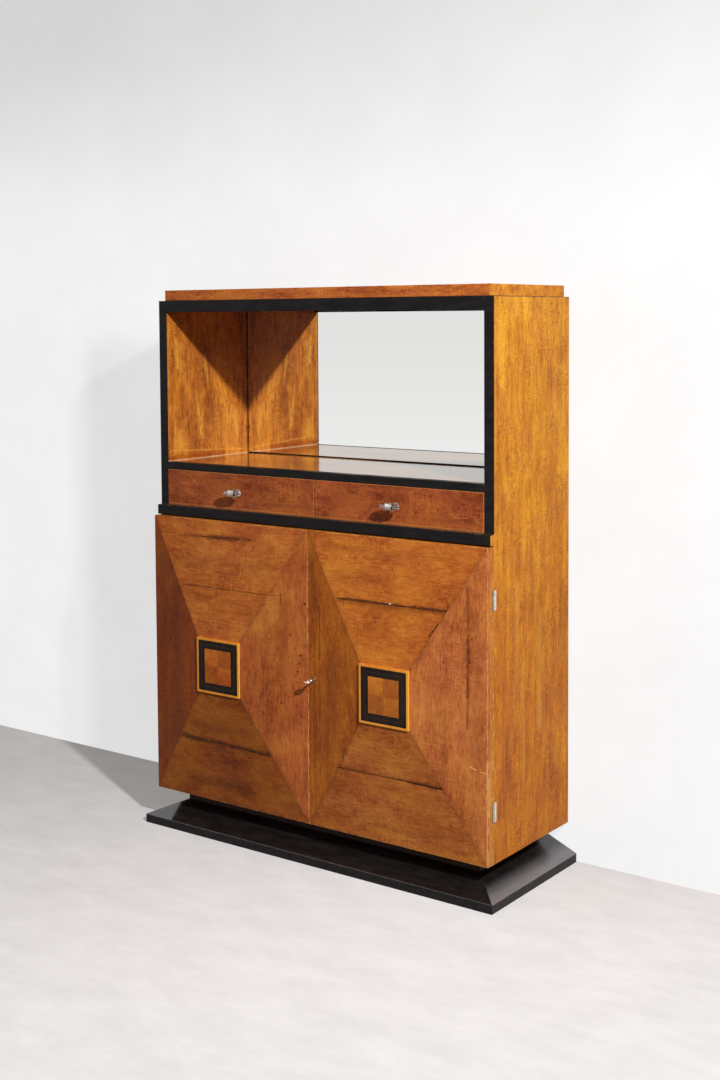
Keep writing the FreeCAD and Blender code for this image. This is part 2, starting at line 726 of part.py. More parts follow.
def drawer_pull(side):
    """A clear tube through a ribbed collar on a stem."""
    label = f"{side}_pull"
    middle = at(side, "pull_centre")
    pull_y = "front - pull_stand_off"
    along = Rotation(Vector(0, 1, 0), 90)
    outward = Rotation(Vector(1, 0, 0), 90)

    def tube_part(name, radius, length):
        return rod(f"{label}_{name}", f"{middle} - ({length}) / 2", pull_y, "pull_height",
                   radius, length, along)

    glass = cut(f"{label}_glass", tube_part("tube", "pull_radius", "pull_length"),
                [tube_part("tube_bore", "pull_bore_radius", "pull_length + 2 * overrun")])
    node(glass, f"{label}_glass")

    ring = tube_part("ring", "collar_radius", "collar_width")
    ribs = []
    for number, share in enumerate((-1, 0, 1)):
        rib = doc.addObject("Part::Torus", f"{label}_rib_{number}")
        bind(rib, Radius1="collar_radius", Radius2="collar_rib_radius")
        place(rib, f"{middle} + {share} * (collar_width / 2 - collar_rib_radius)",
              pull_y, "pull_height", along)
        ribs.append(rib)
    stem = rod(f"{label}_stem", middle, "front", "pull_height", "stem_radius",
               "pull_stand_off - pull_radius", outward)
    rose = rod(f"{label}_rose", middle, "front", "pull_height", "rose_radius",
               "rose_thickness", outward)
    spigot = rod(f"{label}_spigot", middle, "front + spigot_length", "pull_height",
                 "spigot_radius", "spigot_length + rose_thickness", outward)
    seat = tube_part("seat", "pull_radius + collar_fit", "pull_length + 2 * overrun")
    node(cut(f"{label}_collar", fuse(f"{label}_blank", [ring, *ribs, stem, rose, spigot]),
             [seat]), f"{label}_collar")


def check():
    """Stops if an object failed or a piece has no valid solid."""
    for item in doc.Objects:
        if "Invalid" in item.State or "Error" in item.State:
            raise RuntimeError(f"{item.Label}: {item.State}")
    for item in nodes:
        if item.Shape.isNull() or not item.Shape.isValid() or not item.Shape.Solids:
            raise RuntimeError(f"{item.Label}: no valid solid")


plinth()
upper_frame()
inner_boards()
top_panel()
lock()
key()
sliding_bolt()
for side in SIDES:
    side_panel(side)
    door_core(side)
    facet(side, "top", 0, "door_height", "door_width")
    facet(side, "right", 90, "door_width", "door_height")
    facet(side, "bottom", 180, "door_height", "door_width")
    facet(side, "left", -90, "door_width", "door_height")
    plaque(side)
    hinges(side)
    drawer(side)
    drawer_pull(side)

doc.recompute()
check()
os.makedirs("parts", exist_ok=True)
for item in nodes:
    item.Shape.exportStep(f"parts/{item.Label}.step")
    print(item.Label, len(item.Shape.Solids), round(item.Shape.Volume))
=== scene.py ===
"""Looks of the bar cabinet: finishes on the carried-over pieces, fittings and the studio."""

import json
import math

import bpy
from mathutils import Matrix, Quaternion, Vector


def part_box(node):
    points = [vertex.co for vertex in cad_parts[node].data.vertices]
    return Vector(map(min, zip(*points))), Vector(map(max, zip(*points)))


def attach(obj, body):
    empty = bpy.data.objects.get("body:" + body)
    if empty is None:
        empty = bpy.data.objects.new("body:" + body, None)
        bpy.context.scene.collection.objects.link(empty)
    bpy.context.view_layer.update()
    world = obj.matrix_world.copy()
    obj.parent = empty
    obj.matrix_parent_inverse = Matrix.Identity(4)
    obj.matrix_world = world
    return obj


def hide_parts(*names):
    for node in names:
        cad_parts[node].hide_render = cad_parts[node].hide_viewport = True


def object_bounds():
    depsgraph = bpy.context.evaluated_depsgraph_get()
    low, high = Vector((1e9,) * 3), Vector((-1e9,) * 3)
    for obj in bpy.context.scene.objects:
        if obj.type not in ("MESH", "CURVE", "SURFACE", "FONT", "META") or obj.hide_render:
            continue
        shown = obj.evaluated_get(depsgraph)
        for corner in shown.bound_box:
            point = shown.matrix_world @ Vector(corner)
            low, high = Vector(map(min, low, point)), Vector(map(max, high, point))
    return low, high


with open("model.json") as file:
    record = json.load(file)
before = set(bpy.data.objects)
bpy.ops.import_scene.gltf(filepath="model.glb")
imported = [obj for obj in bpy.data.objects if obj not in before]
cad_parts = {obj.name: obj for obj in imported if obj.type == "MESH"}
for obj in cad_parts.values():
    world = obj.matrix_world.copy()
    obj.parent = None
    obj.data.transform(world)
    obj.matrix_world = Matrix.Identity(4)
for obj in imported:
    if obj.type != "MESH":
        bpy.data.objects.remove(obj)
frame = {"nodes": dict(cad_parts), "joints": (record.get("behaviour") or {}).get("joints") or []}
cad_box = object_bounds()

MM = 0.001
SIDES = {"left": -1, "right": 1}
X_AXIS = Vector((1, 0, 0))
Y_AXIS = Vector((0, 1, 0))
Z_AXIS = Vector((0, 0, 1))
SMOOTH_ANGLE = math.radians(35)
MERGE_DISTANCE = 0.01 * MM

CARCASS_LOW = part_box("back_panel")[0]
HALF_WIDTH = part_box("side_panel_right")[1].x
SIDE_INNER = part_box("side_panel_right")[0].x
CARCASS_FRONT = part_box("drawer_deck")[0].y
CABINET_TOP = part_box("top_panel")[1].z
DOOR_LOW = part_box("right_door_core")[0]
FACET_RISE = 40.1 * MM
FACET_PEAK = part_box("right_door_facet_left")[0].y
FACET_RIM = FACET_PEAK + FACET_RISE


# Shader helpers

def add(tree, kind, inputs=None, **settings):
    """Adds a shader node; an input is a value or another node's output."""
    made = tree.nodes.new(kind)
    for name, value in settings.items():
        setattr(made, name, value)
    for key, value in (inputs or {}).items():
        if isinstance(value, bpy.types.NodeSocket):
            tree.links.new(value, made.inputs[key])
        else:
            made.inputs[key].default_value = value
    return made


def calc(tree, operation, *values, clamp=False):
    """One step of arithmetic on numbers."""
    return add(tree, "ShaderNodeMath", dict(enumerate(values)), operation=operation,
               use_clamp=clamp).outputs[0]


def along(tree, operation, *values):
    """One step of arithmetic on vectors."""
    made = add(tree, "ShaderNodeVectorMath", dict(enumerate(values)), operation=operation)
    return made.outputs["Value" if operation in ("DOT_PRODUCT", "LENGTH") else "Vector"]


def noise(tree, place, scale, detail, roughness=0.5, distortion=0.0, output="Fac"):
    """Cloudy noise between 0 and 1."""
    return add(tree, "ShaderNodeTexNoise",
               {"Vector": place, "Scale": scale, "Detail": detail, "Roughness": roughness,
                "Distortion": distortion}).outputs[output]


def scaled(tree, vector, share):
    """A vector times a number."""
    return add(tree, "ShaderNodeVectorMath", {0: vector, "Scale": share},
               operation="SCALE").outputs[0]


def part_of(tree, place, axis):
    """One of a place's coordinates."""
    return add(tree, "ShaderNodeSeparateXYZ", {0: place}).outputs[axis]


def feed(tree, sockets, **sources):
    """Links values to input sockets; an underscore in a name stands for a space."""
    for name, source in sources.items():
        tree.links.new(source, sockets[name.replace("_", " ")])


def mapped(tree, place, scale=(1, 1, 1), turn=(0, 0, 0), shift=(0, 0, 0)):
    """Stretches, turns or shifts a pattern on a piece."""
    return add(tree, "ShaderNodeMapping",
               {"Vector": place, "Scale": scale, "Rotation": turn,
                "Location": shift}).outputs["Vector"]


def between(tree, value, low, high, first=0.0, last=1.0, kind="SMOOTHSTEP"):
    """Spreads a value from one range to another, clamped."""
    return add(tree, "ShaderNodeMapRange",
               {"Value": value, "From Min": low, "From Max": high, "To Min": first,
                "To Max": last}, interpolation_type=kind).outputs[0]


def tint(tree, share, first, second, mode="MIX"):
    """Mixes two colours."""
    made = add(tree, "ShaderNodeMix", data_type="RGBA", blend_type=mode)
    made.clamp_factor = True
    sockets = {"Factor_Float": share, "A_Color": first, "B_Color": second}
    for socket in made.inputs:
        if socket.identifier in sockets:
            value = sockets[socket.identifier]
            if isinstance(value, bpy.types.NodeSocket):
                tree.links.new(value, socket)
            else:
                socket.default_value = value
    return next(out for out in made.outputs if out.identifier == "Result_Color")


def paint(red, green, blue):
    """A colour from 0 to 255 numbers, as the screen shows it."""
    def linear(value):
        share = value / 255
        return share / 12.92 if share <= 0.04045 else ((share + 0.055) / 1.055) ** 2.4
    return (linear(red), linear(green), linear(blue), 1.0)


def cleared(holder):
    """The empty node tree of a new material or world."""
    holder.use_nodes = True
    holder.node_tree.nodes.clear()
    return holder.node_tree


def show(tree, shader, kind="ShaderNodeOutputMaterial"):
    """Joins a shader's socket to the output."""
    feed(tree, tree.nodes.new(kind).inputs, Surface=shader)


def new_group(name, inputs, outputs):
    """An empty node group with named inputs and outputs."""
    group = bpy.data.node_groups.new(name, "ShaderNodeTree")
    kinds = {"colour": "NodeSocketColor", "value": "NodeSocketFloat",
             "vector": "NodeSocketVector"}
    for label, kind in inputs:
        group.interface.new_socket(label, in_out="INPUT", socket_type=kinds[kind])
    for label, kind in outputs:
        group.interface.new_socket(label, in_out="OUTPUT", socket_type=kinds[kind])
    given = group.nodes.new("NodeGroupInput").outputs
    result = group.nodes.new("NodeGroupOutput").inputs
    return group, given, result


def use(tree, group, inputs):
    """Places a node group in a material with its own values."""
    made = tree.nodes.new("ShaderNodeGroup")
    made.node_tree = group
    for label, value in inputs.items():
        if isinstance(value, bpy.types.NodeSocket):
            tree.links.new(value, made.inputs[label])
        else:
            made.inputs[label].default_value = value
    return made.outputs


# Shared effects

def veneer_figure():
    """Wood with its grain along Z: bands, flames, cross mottle, clouds, fibres and pores."""
    group, given, result = new_group(
        "veneer figure",
        [("Place", "vector"), ("Light", "colour"), ("Middle", "colour"), ("Dark", "colour"),
         ("Bands", "value"), ("Flames", "value"), ("Mottle", "value"), ("Clouds", "value"),
         ("Pores", "value")],
        [("Colour", "colour"), ("Height", "value"), ("Gloss", "value")])
    place = given["Place"]
    drift = along(group, "SUBTRACT",
                  noise(group, mapped(group, place, (1, 1, 0.3)), 6.0, 2.0, output="Color"),
                  (0.5, 0.5, 0.5))
    bent = along(group, "ADD", place, along(group, "MULTIPLY", drift, (0.03, 0.03, 0.0)))
    layers = {
        "Bands": noise(group, mapped(group, bent, (1, 1, 0.09)), 62.0, 4.0, 0.66),
        "Flames": noise(group, mapped(group, bent, (1, 1, 0.3)), 26.0, 6.0, 0.7, 0.8),
        "Mottle": noise(group, mapped(group, bent, (0.4, 0.4, 1.0)), 180.0, 4.0, 0.75, 0.5),
        "Clouds": noise(group, mapped(group, place, (1, 1, 0.7)), 8.0, 6.0, 0.68)}
    tone = 0.5
    for label, layer in layers.items():
        spread = calc(group, "MULTIPLY_ADD", layer, 6.0, -3.0)
        if label == "Mottle":
            spread = calc(group, "MULTIPLY", spread,
                          between(group, noise(group, place, 14.0, 3.0), 0.38, 0.66, 0.3, 1.5))
        tone = calc(group, "MULTIPLY_ADD", spread, given[label], tone)
    fibres = noise(group, mapped(group, place, (1, 1, 0.18)), 260.0, 4.0, 0.7)
    tone = calc(group, "ADD", tone, calc(group, "MULTIPLY_ADD", fibres, 1.2, -0.6))
    darker = tint(group, between(group, tone, 0.0, 0.5, kind="LINEAR"), given["Dark"],
                  given["Middle"])
    colour = tint(group, between(group, tone, 0.5, 1.0, kind="LINEAR"), darker, given["Light"])
    warmth = between(group, noise(group, mapped(group, place, (1, 1, 0.6)), 11.0, 4.0, 0.6),
                     0.36, 0.64)
    colour = tint(group, 1.0, colour,
                  tint(group, warmth, (1.0, 1.015, 0.9, 1), (1.0, 0.96, 1.06, 1)), "MULTIPLY")
    dashes = noise(group, mapped(group, bent, (1, 1, 0.06)), 330.0, 2.0)
    specks = noise(group, place, 120.0, 2.0, 0.4)
    pores = calc(group, "MULTIPLY",
                 calc(group, "MAXIMUM", between(group, dashes, 0.64, 0.76),
                      between(group, specks, 0.7, 0.75)), given["Pores"])
    colour = tint(group, pores, colour, tint(group, 1.0, colour, paint(120, 92, 84), "MULTIPLY"))
    feed(group, result, Colour=colour,
         Height=calc(group, "SUBTRACT", calc(group, "MULTIPLY", fibres, 0.5), pores),
         Gloss=between(group, noise(group, place, 9.0, 5.0, 0.6), 0.3, 0.7))
    return group


def surface_mark():
    """A crack, streak, scratch or spot along a line on a face. Y of every place is 0."""
    group, given, result = new_group(
        "surface mark",
        [("Place", "vector"), ("Ragged", "vector"), ("Patches", "value"), ("From", "vector"),
         ("To", "vector"), ("Width", "value"), ("Wander", "value"), ("Breaks", "value"),
         ("Softness", "value")],
        [("Mask", "value")])
    wandering = scaled(group, given["Ragged"], given["Wander"])
    start = given["From"]
    run = along(group, "SUBTRACT", given["To"], start)
    reach = along(group, "SUBTRACT", along(group, "ADD", given["Place"], wandering), start)
    share = calc(group, "DIVIDE", along(group, "DOT_PRODUCT", reach, run),
                 along(group, "DOT_PRODUCT", run, run), clamp=True)
    distance = along(group, "LENGTH",
                     along(group, "SUBTRACT", reach, scaled(group, run, share)))
    patches = given["Patches"]
    width = calc(group, "MULTIPLY", given["Width"], between(group, patches, 0.3, 0.7, 0.5, 1.5))
    inner = calc(group, "MULTIPLY", width, calc(group, "SUBTRACT", 1.0, given["Softness"]))
    outer = calc(group, "MULTIPLY_ADD", width, given["Softness"], width)
    mask = between(group, distance, inner, outer, 1.0, 0.0)
    gaps = calc(group, "MULTIPLY", between(group, patches, 0.42, 0.6), given["Breaks"])
    feed(group, result, Mask=calc(group, "MULTIPLY", mask, calc(group, "SUBTRACT", 1.0, gaps)))
    return group


def edge_wear():
    """Wear along the edges of a block between two corners, broken up by noise."""
    group, given, result = new_group(
        "edge wear",
        [("Place", "vector"), ("Low", "vector"), ("High", "vector"), ("Width", "value"),
         ("Amount", "value")],
        [("Mask", "value")])
    place = given["Place"]
    depth = along(group, "MINIMUM", along(group, "SUBTRACT", place, given["Low"]),
                  along(group, "SUBTRACT", given["High"], place))
    parts = add(group, "ShaderNodeSeparateXYZ", {0: depth}).outputs
    smaller = calc(group, "MINIMUM", parts[0], parts[1])
    larger = calc(group, "MAXIMUM", parts[0], parts[1])
    second = calc(group, "MAXIMUM", smaller, calc(group, "MINIMUM", larger, parts[2]))
    ragged = between(group, noise(group, place, 55.0, 6.0, 0.75), 0.42, 0.8, 0.0, 2.0)
    width = calc(group, "MULTIPLY", given["Width"], ragged)
    near = calc(group, "LESS_THAN", second, width)
    feed(group, result, Mask=calc(group, "MULTIPLY", near, given["Amount"]))
    return group


def handling():
    """Uneven gloss from polishing and hands, with a few fine scratches."""
    group, given, result = new_group("handling", [("Place", "vector")],
                                     [("Gloss", "value"), ("Scratches", "value")])
    place = given["Place"]
    smears = between(group, noise(group, place, 11.0, 5.0, 0.65), 0.3, 0.7)
    hairs = noise(group, mapped(group, place, (1, 1, 0.03), (0.4, 0.5, 0.2)), 320.0, 2.0)
    feed(group, result, Gloss=smears, Scratches=between(group, hairs, 0.68, 0.74))
    return group


VENEER = veneer_figure()
MARK = surface_mark()
WEAR = edge_wear()
HANDLING = handling()


# Marks of use and age

CRACK_BROWN = (44, 20, 10)
SMOKE_BROWN = (82, 38, 18)
RED_BROWN = (112, 44, 20)
PALE_WOOD = (236, 176, 104)
HONEY = (236, 174, 70)
AUBURN = (158, 84, 26)
DUST_WHITE = (232, 210, 172)
EMBER = (206, 112, 46)
PALE_ORANGE = (222, 146, 84)


def mark(start, end, width, colour=CRACK_BROWN, strength=0.9, softness=0.4, wander=4.0,
         breaks=0.35, depth=1.0):
    """A mark from one place on a face to another, in millimetres."""
    return {"start": (start[0] * MM, 0, start[1] * MM), "end": (end[0] * MM, 0, end[1] * MM),
            "width": width * MM, "colour": colour, "strength": strength, "softness": softness,
            "wander": wander * MM, "breaks": breaks, "depth": depth}


# A crack: dark brown for the crack itself, widened with painted shade inside it.
def crack(start, end, width, strength=0.9, **look):
    return mark(start, end, width, **{"strength": strength, "depth": 3.0, **look})


def streak(start, end, width, strength, **look):
    return mark(start, end, width, **{"colour": SMOKE_BROWN, "strength": strength,
                                      "softness": 0.95, "wander": 9.0, "depth": 0.0, **look})


def flame(start, end, width, strength, wander=20.0, **look):
    """A pale flame of the wood's own figure."""
    return streak(start, end, width, strength, colour=HONEY, wander=wander, **look)


def spot(x, z, width, strength=0.9, **look):
    return mark((x - 0.6, z), (x + 0.6, z), width, **{"strength": strength, "wander": 3.0,
                                                      "breaks": 0.0, **look})


def scratch(start, end, width, strength=0.9, **look):
    return mark(start, end, width, **{"colour": PALE_WOOD, "strength": strength,
                                      "wander": 3.0, "breaks": 0.6, **look})


def edge_lines(left, right):
    """Pale rubbed lines along the edges of a drawer's front."""
    top, bottom = 920.7, 834.6
    return [mark((left, top), (right, top), 0.9, PALE_ORANGE, 0.5, 0.5, 0.5, 0.5, 0.0),
            mark((left, bottom), (right, bottom), 1.3, PALE_ORANGE, 0.55, 0.6, 0.8, 0.5, 0.0),
            mark((right, top), (right, bottom), 0.8, PALE_ORANGE, 0.6, 0.5, 0.5, 0.4, 0.0)]


MARKS = {
    "right_door_facet_top": [
        crack((103, 655), (405, 657), 2.4, breaks=0.2, wander=8.0),
        streak((105, 652), (402, 655), 7, 0.5),
        streak((200, 642), (330, 644), 9, 0.22, colour=RED_BROWN),
        spot(254, 658, 2.2, colour=DUST_WHITE, depth=0.0),
        crack((366, 598), (386, 627), 2.2, 0.8, wander=6.0),
        crack((407, 674), (412, 660), 2.0, 0.7),
        streak((60, 770), (420, 774), 9, 0.2), streak((90, 708), (250, 706), 12, 0.2)],
    "right_door_facet_bottom": [
        crack((104, 255), (397, 256), 1.6, breaks=0.4, wander=6.0),
        crack((262, 256), (394, 256), 2.4, breaks=0.15, wander=8.0),
        streak((110, 257), (394, 258), 6, 0.4), streak((200, 130), (380, 133), 9, 0.22),
        streak((399, 256), (466, 168), 4, 0.45, breaks=0.7),
        spot(410, 172, 2.6, 0.5), spot(466, 176, 2.6, 0.6),
        streak((149, 342), (120, 280), 4, 0.55, breaks=0.6)],
    "right_door_facet_right": [
        streak((454, 712), (455, 616), 4.0, 0.55, breaks=0.5, wander=7.0),
        crack((456, 606), (454, 472), 3.2, 0.72, breaks=0.4, wander=12.0,
              softness=0.7),
        crack((454, 470), (453, 398), 2.0, 0.6, wander=4.0, softness=0.7),
        streak((472, 640), (470, 160), 14, 0.2), streak((400, 430), (399, 250), 9, 0.2),
        scratch((459, 315), (473, 309), 1.3, 1.0, breaks=0.3),
        scratch((484, 306), (499, 303), 1.2, 0.9),
        scratch((498.6, 560), (498.6, 310), 0.8, breaks=0.9),
        scratch((498.6, 330), (498.6, 94), 1.4, 0.8, breaks=0.4),
        spot(440, 520, 1.4, 0.6), spot(462, 200, 1.8, 0.7),
        spot(431, 586, 1.4, 0.5), spot(476, 540, 1.4, 0.5)],
    "right_door_facet_left": [
        streak((41, 626), (41, 498), 1.8, 0.8, wander=3.0, breaks=0.4),
        streak((40, 490), (40, 221), 1.4, 0.6, wander=3.0, breaks=0.7),
        streak((9, 735), (30, 622), 10, 0.4, wander=14.0),
        streak((24, 560), (20, 240), 5, 0.35, wander=12.0),
        streak((95, 560), (92, 300), 9, 0.25), streak((70, 520), (66, 180), 8, 0.25)],
    "left_door_facet_top": [
        crack((-390, 761), (-175, 766), 1.8, breaks=0.7),
        streak((-310, 762), (-215, 765), 5, 0.9, wander=12.0),
        streak((-390, 761), (-175, 766), 5, 0.4),
        crack((-386, 639), (-107, 640), 0.9, 0.9),
        streak((-420, 700), (-120, 704), 12, 0.22),
        scratch((-196, 722), (-197, 680), 1.2, 0.45)],
    "left_door_facet_right": [
        crack((-107, 640), (-70, 642), 0.8, 0.7),
        streak((-67, 620), (-66, 395), 15, 0.35, colour=RED_BROWN),
        streak((-72, 648), (-71, 622), 1.6, 0.8), spot(-49, 662, 1.8, 0.6),
        streak((-110, 600), (-108, 250), 10, 0.2), spot(-8, 626, 2.4, 0.8),
        spot(-47, 548, 1.8, 0.8), spot(-20, 500, 2.2, 0.85),
        spot(-24, 480, 1.8, 0.8), spot(-27, 460, 2.0, 0.8),
        spot(-79, 512, 2.2, 0.75, colour=RED_BROWN),
        spot(-72, 380, 2.4, 0.7, colour=RED_BROWN),
        spot(-72, 362, 2.0, 0.7, colour=RED_BROWN),
        scratch((-2.2, 700), (-2.2, 470), 0.8, 0.45, breaks=0.6),
        scratch((-2.2, 330), (-2.2, 110), 0.8, breaks=0.8)],
    "left_door_facet_bottom": [
        streak((-391, 251), (-104, 248), 7, 0.7, wander=14.0),
        crack((-388, 258), (-320, 252), 3.6, 0.7, wander=18.0, breaks=0.6),
        crack((-380, 250), (-320, 246), 3.0, 0.8, wander=12.0, breaks=0.4),
        crack((-316, 250), (-230, 252), 1.6, 0.7, wander=8.0, breaks=0.6),
        crack((-230, 250), (-110, 245), 2.8, 0.8, wander=9.0, breaks=0.3),
        streak((-366, 140), (-182, 143), 13, 0.5), streak((-340, 290), (-170, 293), 12, 0.3)],
    "left_door_facet_left": [
        streak((-406, 620), (-404, 240), 20, 0.35), streak((-470, 700), (-472, 200), 12, 0.25),
        streak((-437, 580), (-438, 490), 2, 0.5)],
    "right_drawer_front": [
        streak((104, 902), (126, 898), 5, 0.45), streak((180, 902), (198, 899), 4, 0.35),
        streak((246, 903), (268, 898), 4, 0.4), streak((300, 850), (460, 853), 5, 0.25),
        streak((0.6, 930), (0.6, 850), 1.6, 0.8, wander=0.5, breaks=0.2),
        streak((281, 910), (278, 842), 6, 0.5, colour=EMBER, wander=14.0),
        streak((326, 884), (325, 850), 4, 0.5, colour=EMBER, wander=12.0),
        streak((308, 876), (305, 846), 4, 0.4, colour=EMBER, wander=12.0),
        *[scratch(start, end, 0.8, 0.6, colour=PALE_ORANGE, wander=5.0, breaks=0.4)
          for start, end in (((384, 870), (406, 859)), ((406, 859), (432, 862)),
                             ((448, 867), (454, 856)), ((454, 856), (466, 852)))],
        *edge_lines(1, 474)],
    "left_drawer_front": [
        streak((-0.6, 930), (-0.6, 850), 1.6, 0.8, wander=0.5, breaks=0.2),
        streak((-460, 905), (-260, 908), 5, 0.25), streak((-180, 851), (-20, 854), 5, 0.25),
        *edge_lines(-474, -1)],
    "side_panel_right": [
        spot(172, 240, 2.6, 0.9), spot(113, 222, 2.4, 0.9),
        spot(139, 227, 2.0, 0.8), streak((-140, 1337), (190, 1339), 1.4, 0.16),
        # A dark line under the top panel: painted shadow in the gap between top and side.
        mark((-147, 1352.6), (196, 1352.6), 1.2, (60, 34, 40), 0.8, 0.4, 0.4, 0.1, 0.0),
        flame((-46, 1334), (-34, 1312), 4, 0.4),
        flame((44, 1322), (54, 1300), 5, 0.4),
        flame((100, 1330), (96, 1300), 4, 0.35),
        flame((-45, 700), (-45, 480), 12, 0.3),
        flame((60, 620), (60, 360), 12, 0.32),
        flame((-20, 520), (-16, 260), 8, 0.28),
        streak((-56, 620), (-54, 330), 16, 0.35, colour=AUBURN),
        streak((-100, 520), (-104, 250), 12, 0.3, colour=AUBURN),
        streak((110, 1010), (112, 760), 12, 0.3, colour=AUBURN),
        streak((20, 980), (24, 700), 9, 0.25, colour=AUBURN),
        flame((150, 1186), (166, 1187), 5, 0.35, 9.0),
        streak((70, 430), (72, 120), 10, 0.2, colour=AUBURN),
        *[streak((-120 + 14.3 * number, 130 + 61 * (number * 7 % 5)),
                 (-120 + 14.3 * number, 250 + 83 * (number * 3 % 5)), 1.8, 0.45,
                 colour=(132, 66, 26), wander=3.0, breaks=0.8) for number in range(12)]],
    "side_panel_left": [
        flame((-112, 1252), (-104, 1180), 6, 0.6, 30.0, breaks=0.6),
        flame((-98, 1225), (-88, 1150), 12, 0.3, 34.0, breaks=0.7),
        flame((-2, 1208), (12, 1122), 4.5, 0.6, 30.0, breaks=0.5),
        flame((-36, 1114), (-17, 998), 4.5, 0.65, 34.0, breaks=0.5),
        flame((-100, 1010), (-98, 975), 10, 0.5),
        flame((118, 1060), (126, 985), 8, 0.4),
        flame((-130, 967), (150, 953), 1.6, 0.6, 5.0),
        streak((-146, 948), (70, 948), 8, 0.8, colour=(146, 58, 16), wander=5.0),
        streak((10, 1130), (14, 1000), 14, 0.5, colour=RED_BROWN, wander=16.0),
        streak((-30, 1190), (-34, 1090), 12, 0.3, colour=RED_BROWN, wander=16.0),
        streak((60, 1070), (66, 1010), 10, 0.3, colour=RED_BROWN, wander=16.0),
        mark((168.6, 941), (168.6, 1324), 2.0, (50, 25, 12), 0.8, 0.4, 0.5, 0.2, 0.0),
        mark((-146, 940.9), (172, 940.9), 1.1, DUST_WHITE, 0.55, 0.5, 0.6, 0.3, 0.0)],
}


def plaque_lines(side):
    """Fine brown lines along the middle of a plaque's dark band."""
    low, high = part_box(f"{side}_plaque_band")
    inner_low, inner_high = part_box(f"{side}_plaque_light_squares")
    left, right = (low.x + inner_low.x) / 2 / MM, (high.x + inner_high.x) / 2 / MM
    bottom, top = (low.z + inner_low.z) / 2 / MM, (high.z + inner_high.z) / 2 / MM
    corners = [(left, bottom), (right, bottom), (right, top), (left, top)]
    return [mark(start, end, 0.9, (96, 66, 48), 0.5, 0.5, 0.6, 0.5, 0.0)
            for start, end in zip(corners, corners[1:] + corners[:1])]


def strip_lines(side):
    """The upright strips of a plaque's stringing, brighter where they face the lamp."""
    low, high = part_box(f"{side}_plaque_stringing")
    band_low, band_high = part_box(f"{side}_plaque_band")
    bottom, top = low.z / MM, high.z / MM
    left, right = (low.x + band_low.x) / 2 / MM, (high.x + band_high.x) / 2 / MM
    return [mark((x, bottom), (x, top), 4.5, colour, 0.85, 0.3, 0.4, 0.2, 0.0)
            for x, colour in ((left, (255, 162, 66)), (right, (255, 184, 66)))]


def marked(tree, place, marks, colour, height):
    """Lays marks over a surface's colour and height."""
    ragged = along(tree, "MULTIPLY",
                   along(tree, "SUBTRACT", noise(tree, place, 90.0, 4.0, 0.7, output="Color"),
                         (0.5, 0.5, 0.5)), (1, 0, 1))
    patches = noise(tree, place, 45.0, 3.0)
    for item in marks:
        mask = use(tree, MARK,
                   {"Place": place, "Ragged": ragged, "Patches": patches,
                    "From": item["start"], "To": item["end"], "Width": item["width"],
                    "Wander": item["wander"], "Breaks": item["breaks"],
                    "Softness": item["softness"]})["Mask"]
        share = calc(tree, "MULTIPLY", mask, item["strength"])
        colour = tint(tree, share, colour, paint(*item["colour"]))
        if item["depth"]:
            height = calc(tree, "MULTIPLY_ADD", share, -item["depth"], height)
    return colour, height


# Materials

def new_material(name, **constants):
    """A material with a Principled shader; constants go straight on its sockets."""
    material = bpy.data.materials.new(name)
    tree = cleared(material)
    shader = add(tree, "ShaderNodeBsdfPrincipled",
                 {key.replace("_", " "): value for key, value in constants.items()})
    show(tree, shader.outputs[0])
    place = tree.nodes.new("ShaderNodeTexCoord").outputs["Object"]
    return material, tree, shader, place


def raise_surface(tree, shader, height, distance, strength):
    """Feeds a height to the shader through a bump node."""
    bump = add(tree, "ShaderNodeBump", {"Height": height, "Distance": distance,
                                        "Strength": strength})
    feed(tree, shader.inputs, Normal=bump.outputs[0])


def rubbed(tree, place, box, width, amount, colour, worn):
    """Lays a block's worn edges over a colour."""
    mask = use(tree, WEAR, {"Place": place, "Low": box[0], "High": box[1], "Width": width,
                            "Amount": amount})["Mask"]
    return tint(tree, mask, colour, paint(*worn))


GRAIN_TURNS = {"z": (0, 0, 0), "x": (0, math.pi / 2, 0), "y": (math.pi / 2, 0, 0)}
# Each wood's light, middle and dark colours, then the strengths of its figure's bands,
# flames, mottle and clouds, and of its pores.
WOODS = {
    "side": ((238, 172, 46), (204, 131, 33), (158, 84, 20), (0.17, 0.2, 0.2, 0.2), 0.45),
    "niche": ((232, 158, 56), (193, 114, 40), (122, 58, 22), (0.1, 0.2, 0.18, 0.28), 0.45),
    "top": ((222, 142, 60), (195, 112, 48), (132, 60, 26), (0.12, 0.24, 0.16, 0.28), 0.4),
    "door": ((220, 140, 54), (190, 105, 43), (138, 60, 26), (0.08, 0.17, 0.15, 0.28), 0.5),
    "drawer": ((208, 116, 54), (175, 91, 46), (122, 50, 26), (0.1, 0.22, 0.24, 0.28), 0.5),
    "light square": ((206, 124, 46), (190, 108, 42), (160, 80, 32), (0.1, 0.2, 0.2, 0.2), 0.6),
    "dark square": ((192, 108, 44), (174, 91, 38), (142, 64, 27), (0.12, 0.2, 0.2, 0.2), 0.6),
    "boxwood": ((255, 186, 78), (250, 158, 56), (226, 122, 38), (0.12, 0.06, 0.05, 0.16), 0.15),
    "ebonised": ((56, 42, 34), (34, 27, 24), (18, 15, 15), (0.2, 0.14, 0.08, 0.14), 0.3),
    "neck": ((74, 42, 26), (48, 28, 19), (28, 18, 13), (0.16, 0.14, 0.08, 0.14), 0.4),
    "plain": ((206, 170, 124), (184, 146, 100), (150, 110, 70), (0.18, 0.12, 0.05, 0.16), 0.3),
    "inside": ((186, 124, 74), (158, 98, 54), (118, 66, 34), (0.18, 0.14, 0.06, 0.16), 0.35),
    "back": ((190, 150, 104), (164, 124, 82), (128, 90, 56), (0.2, 0.16, 0.06, 0.2), 0.4),
}


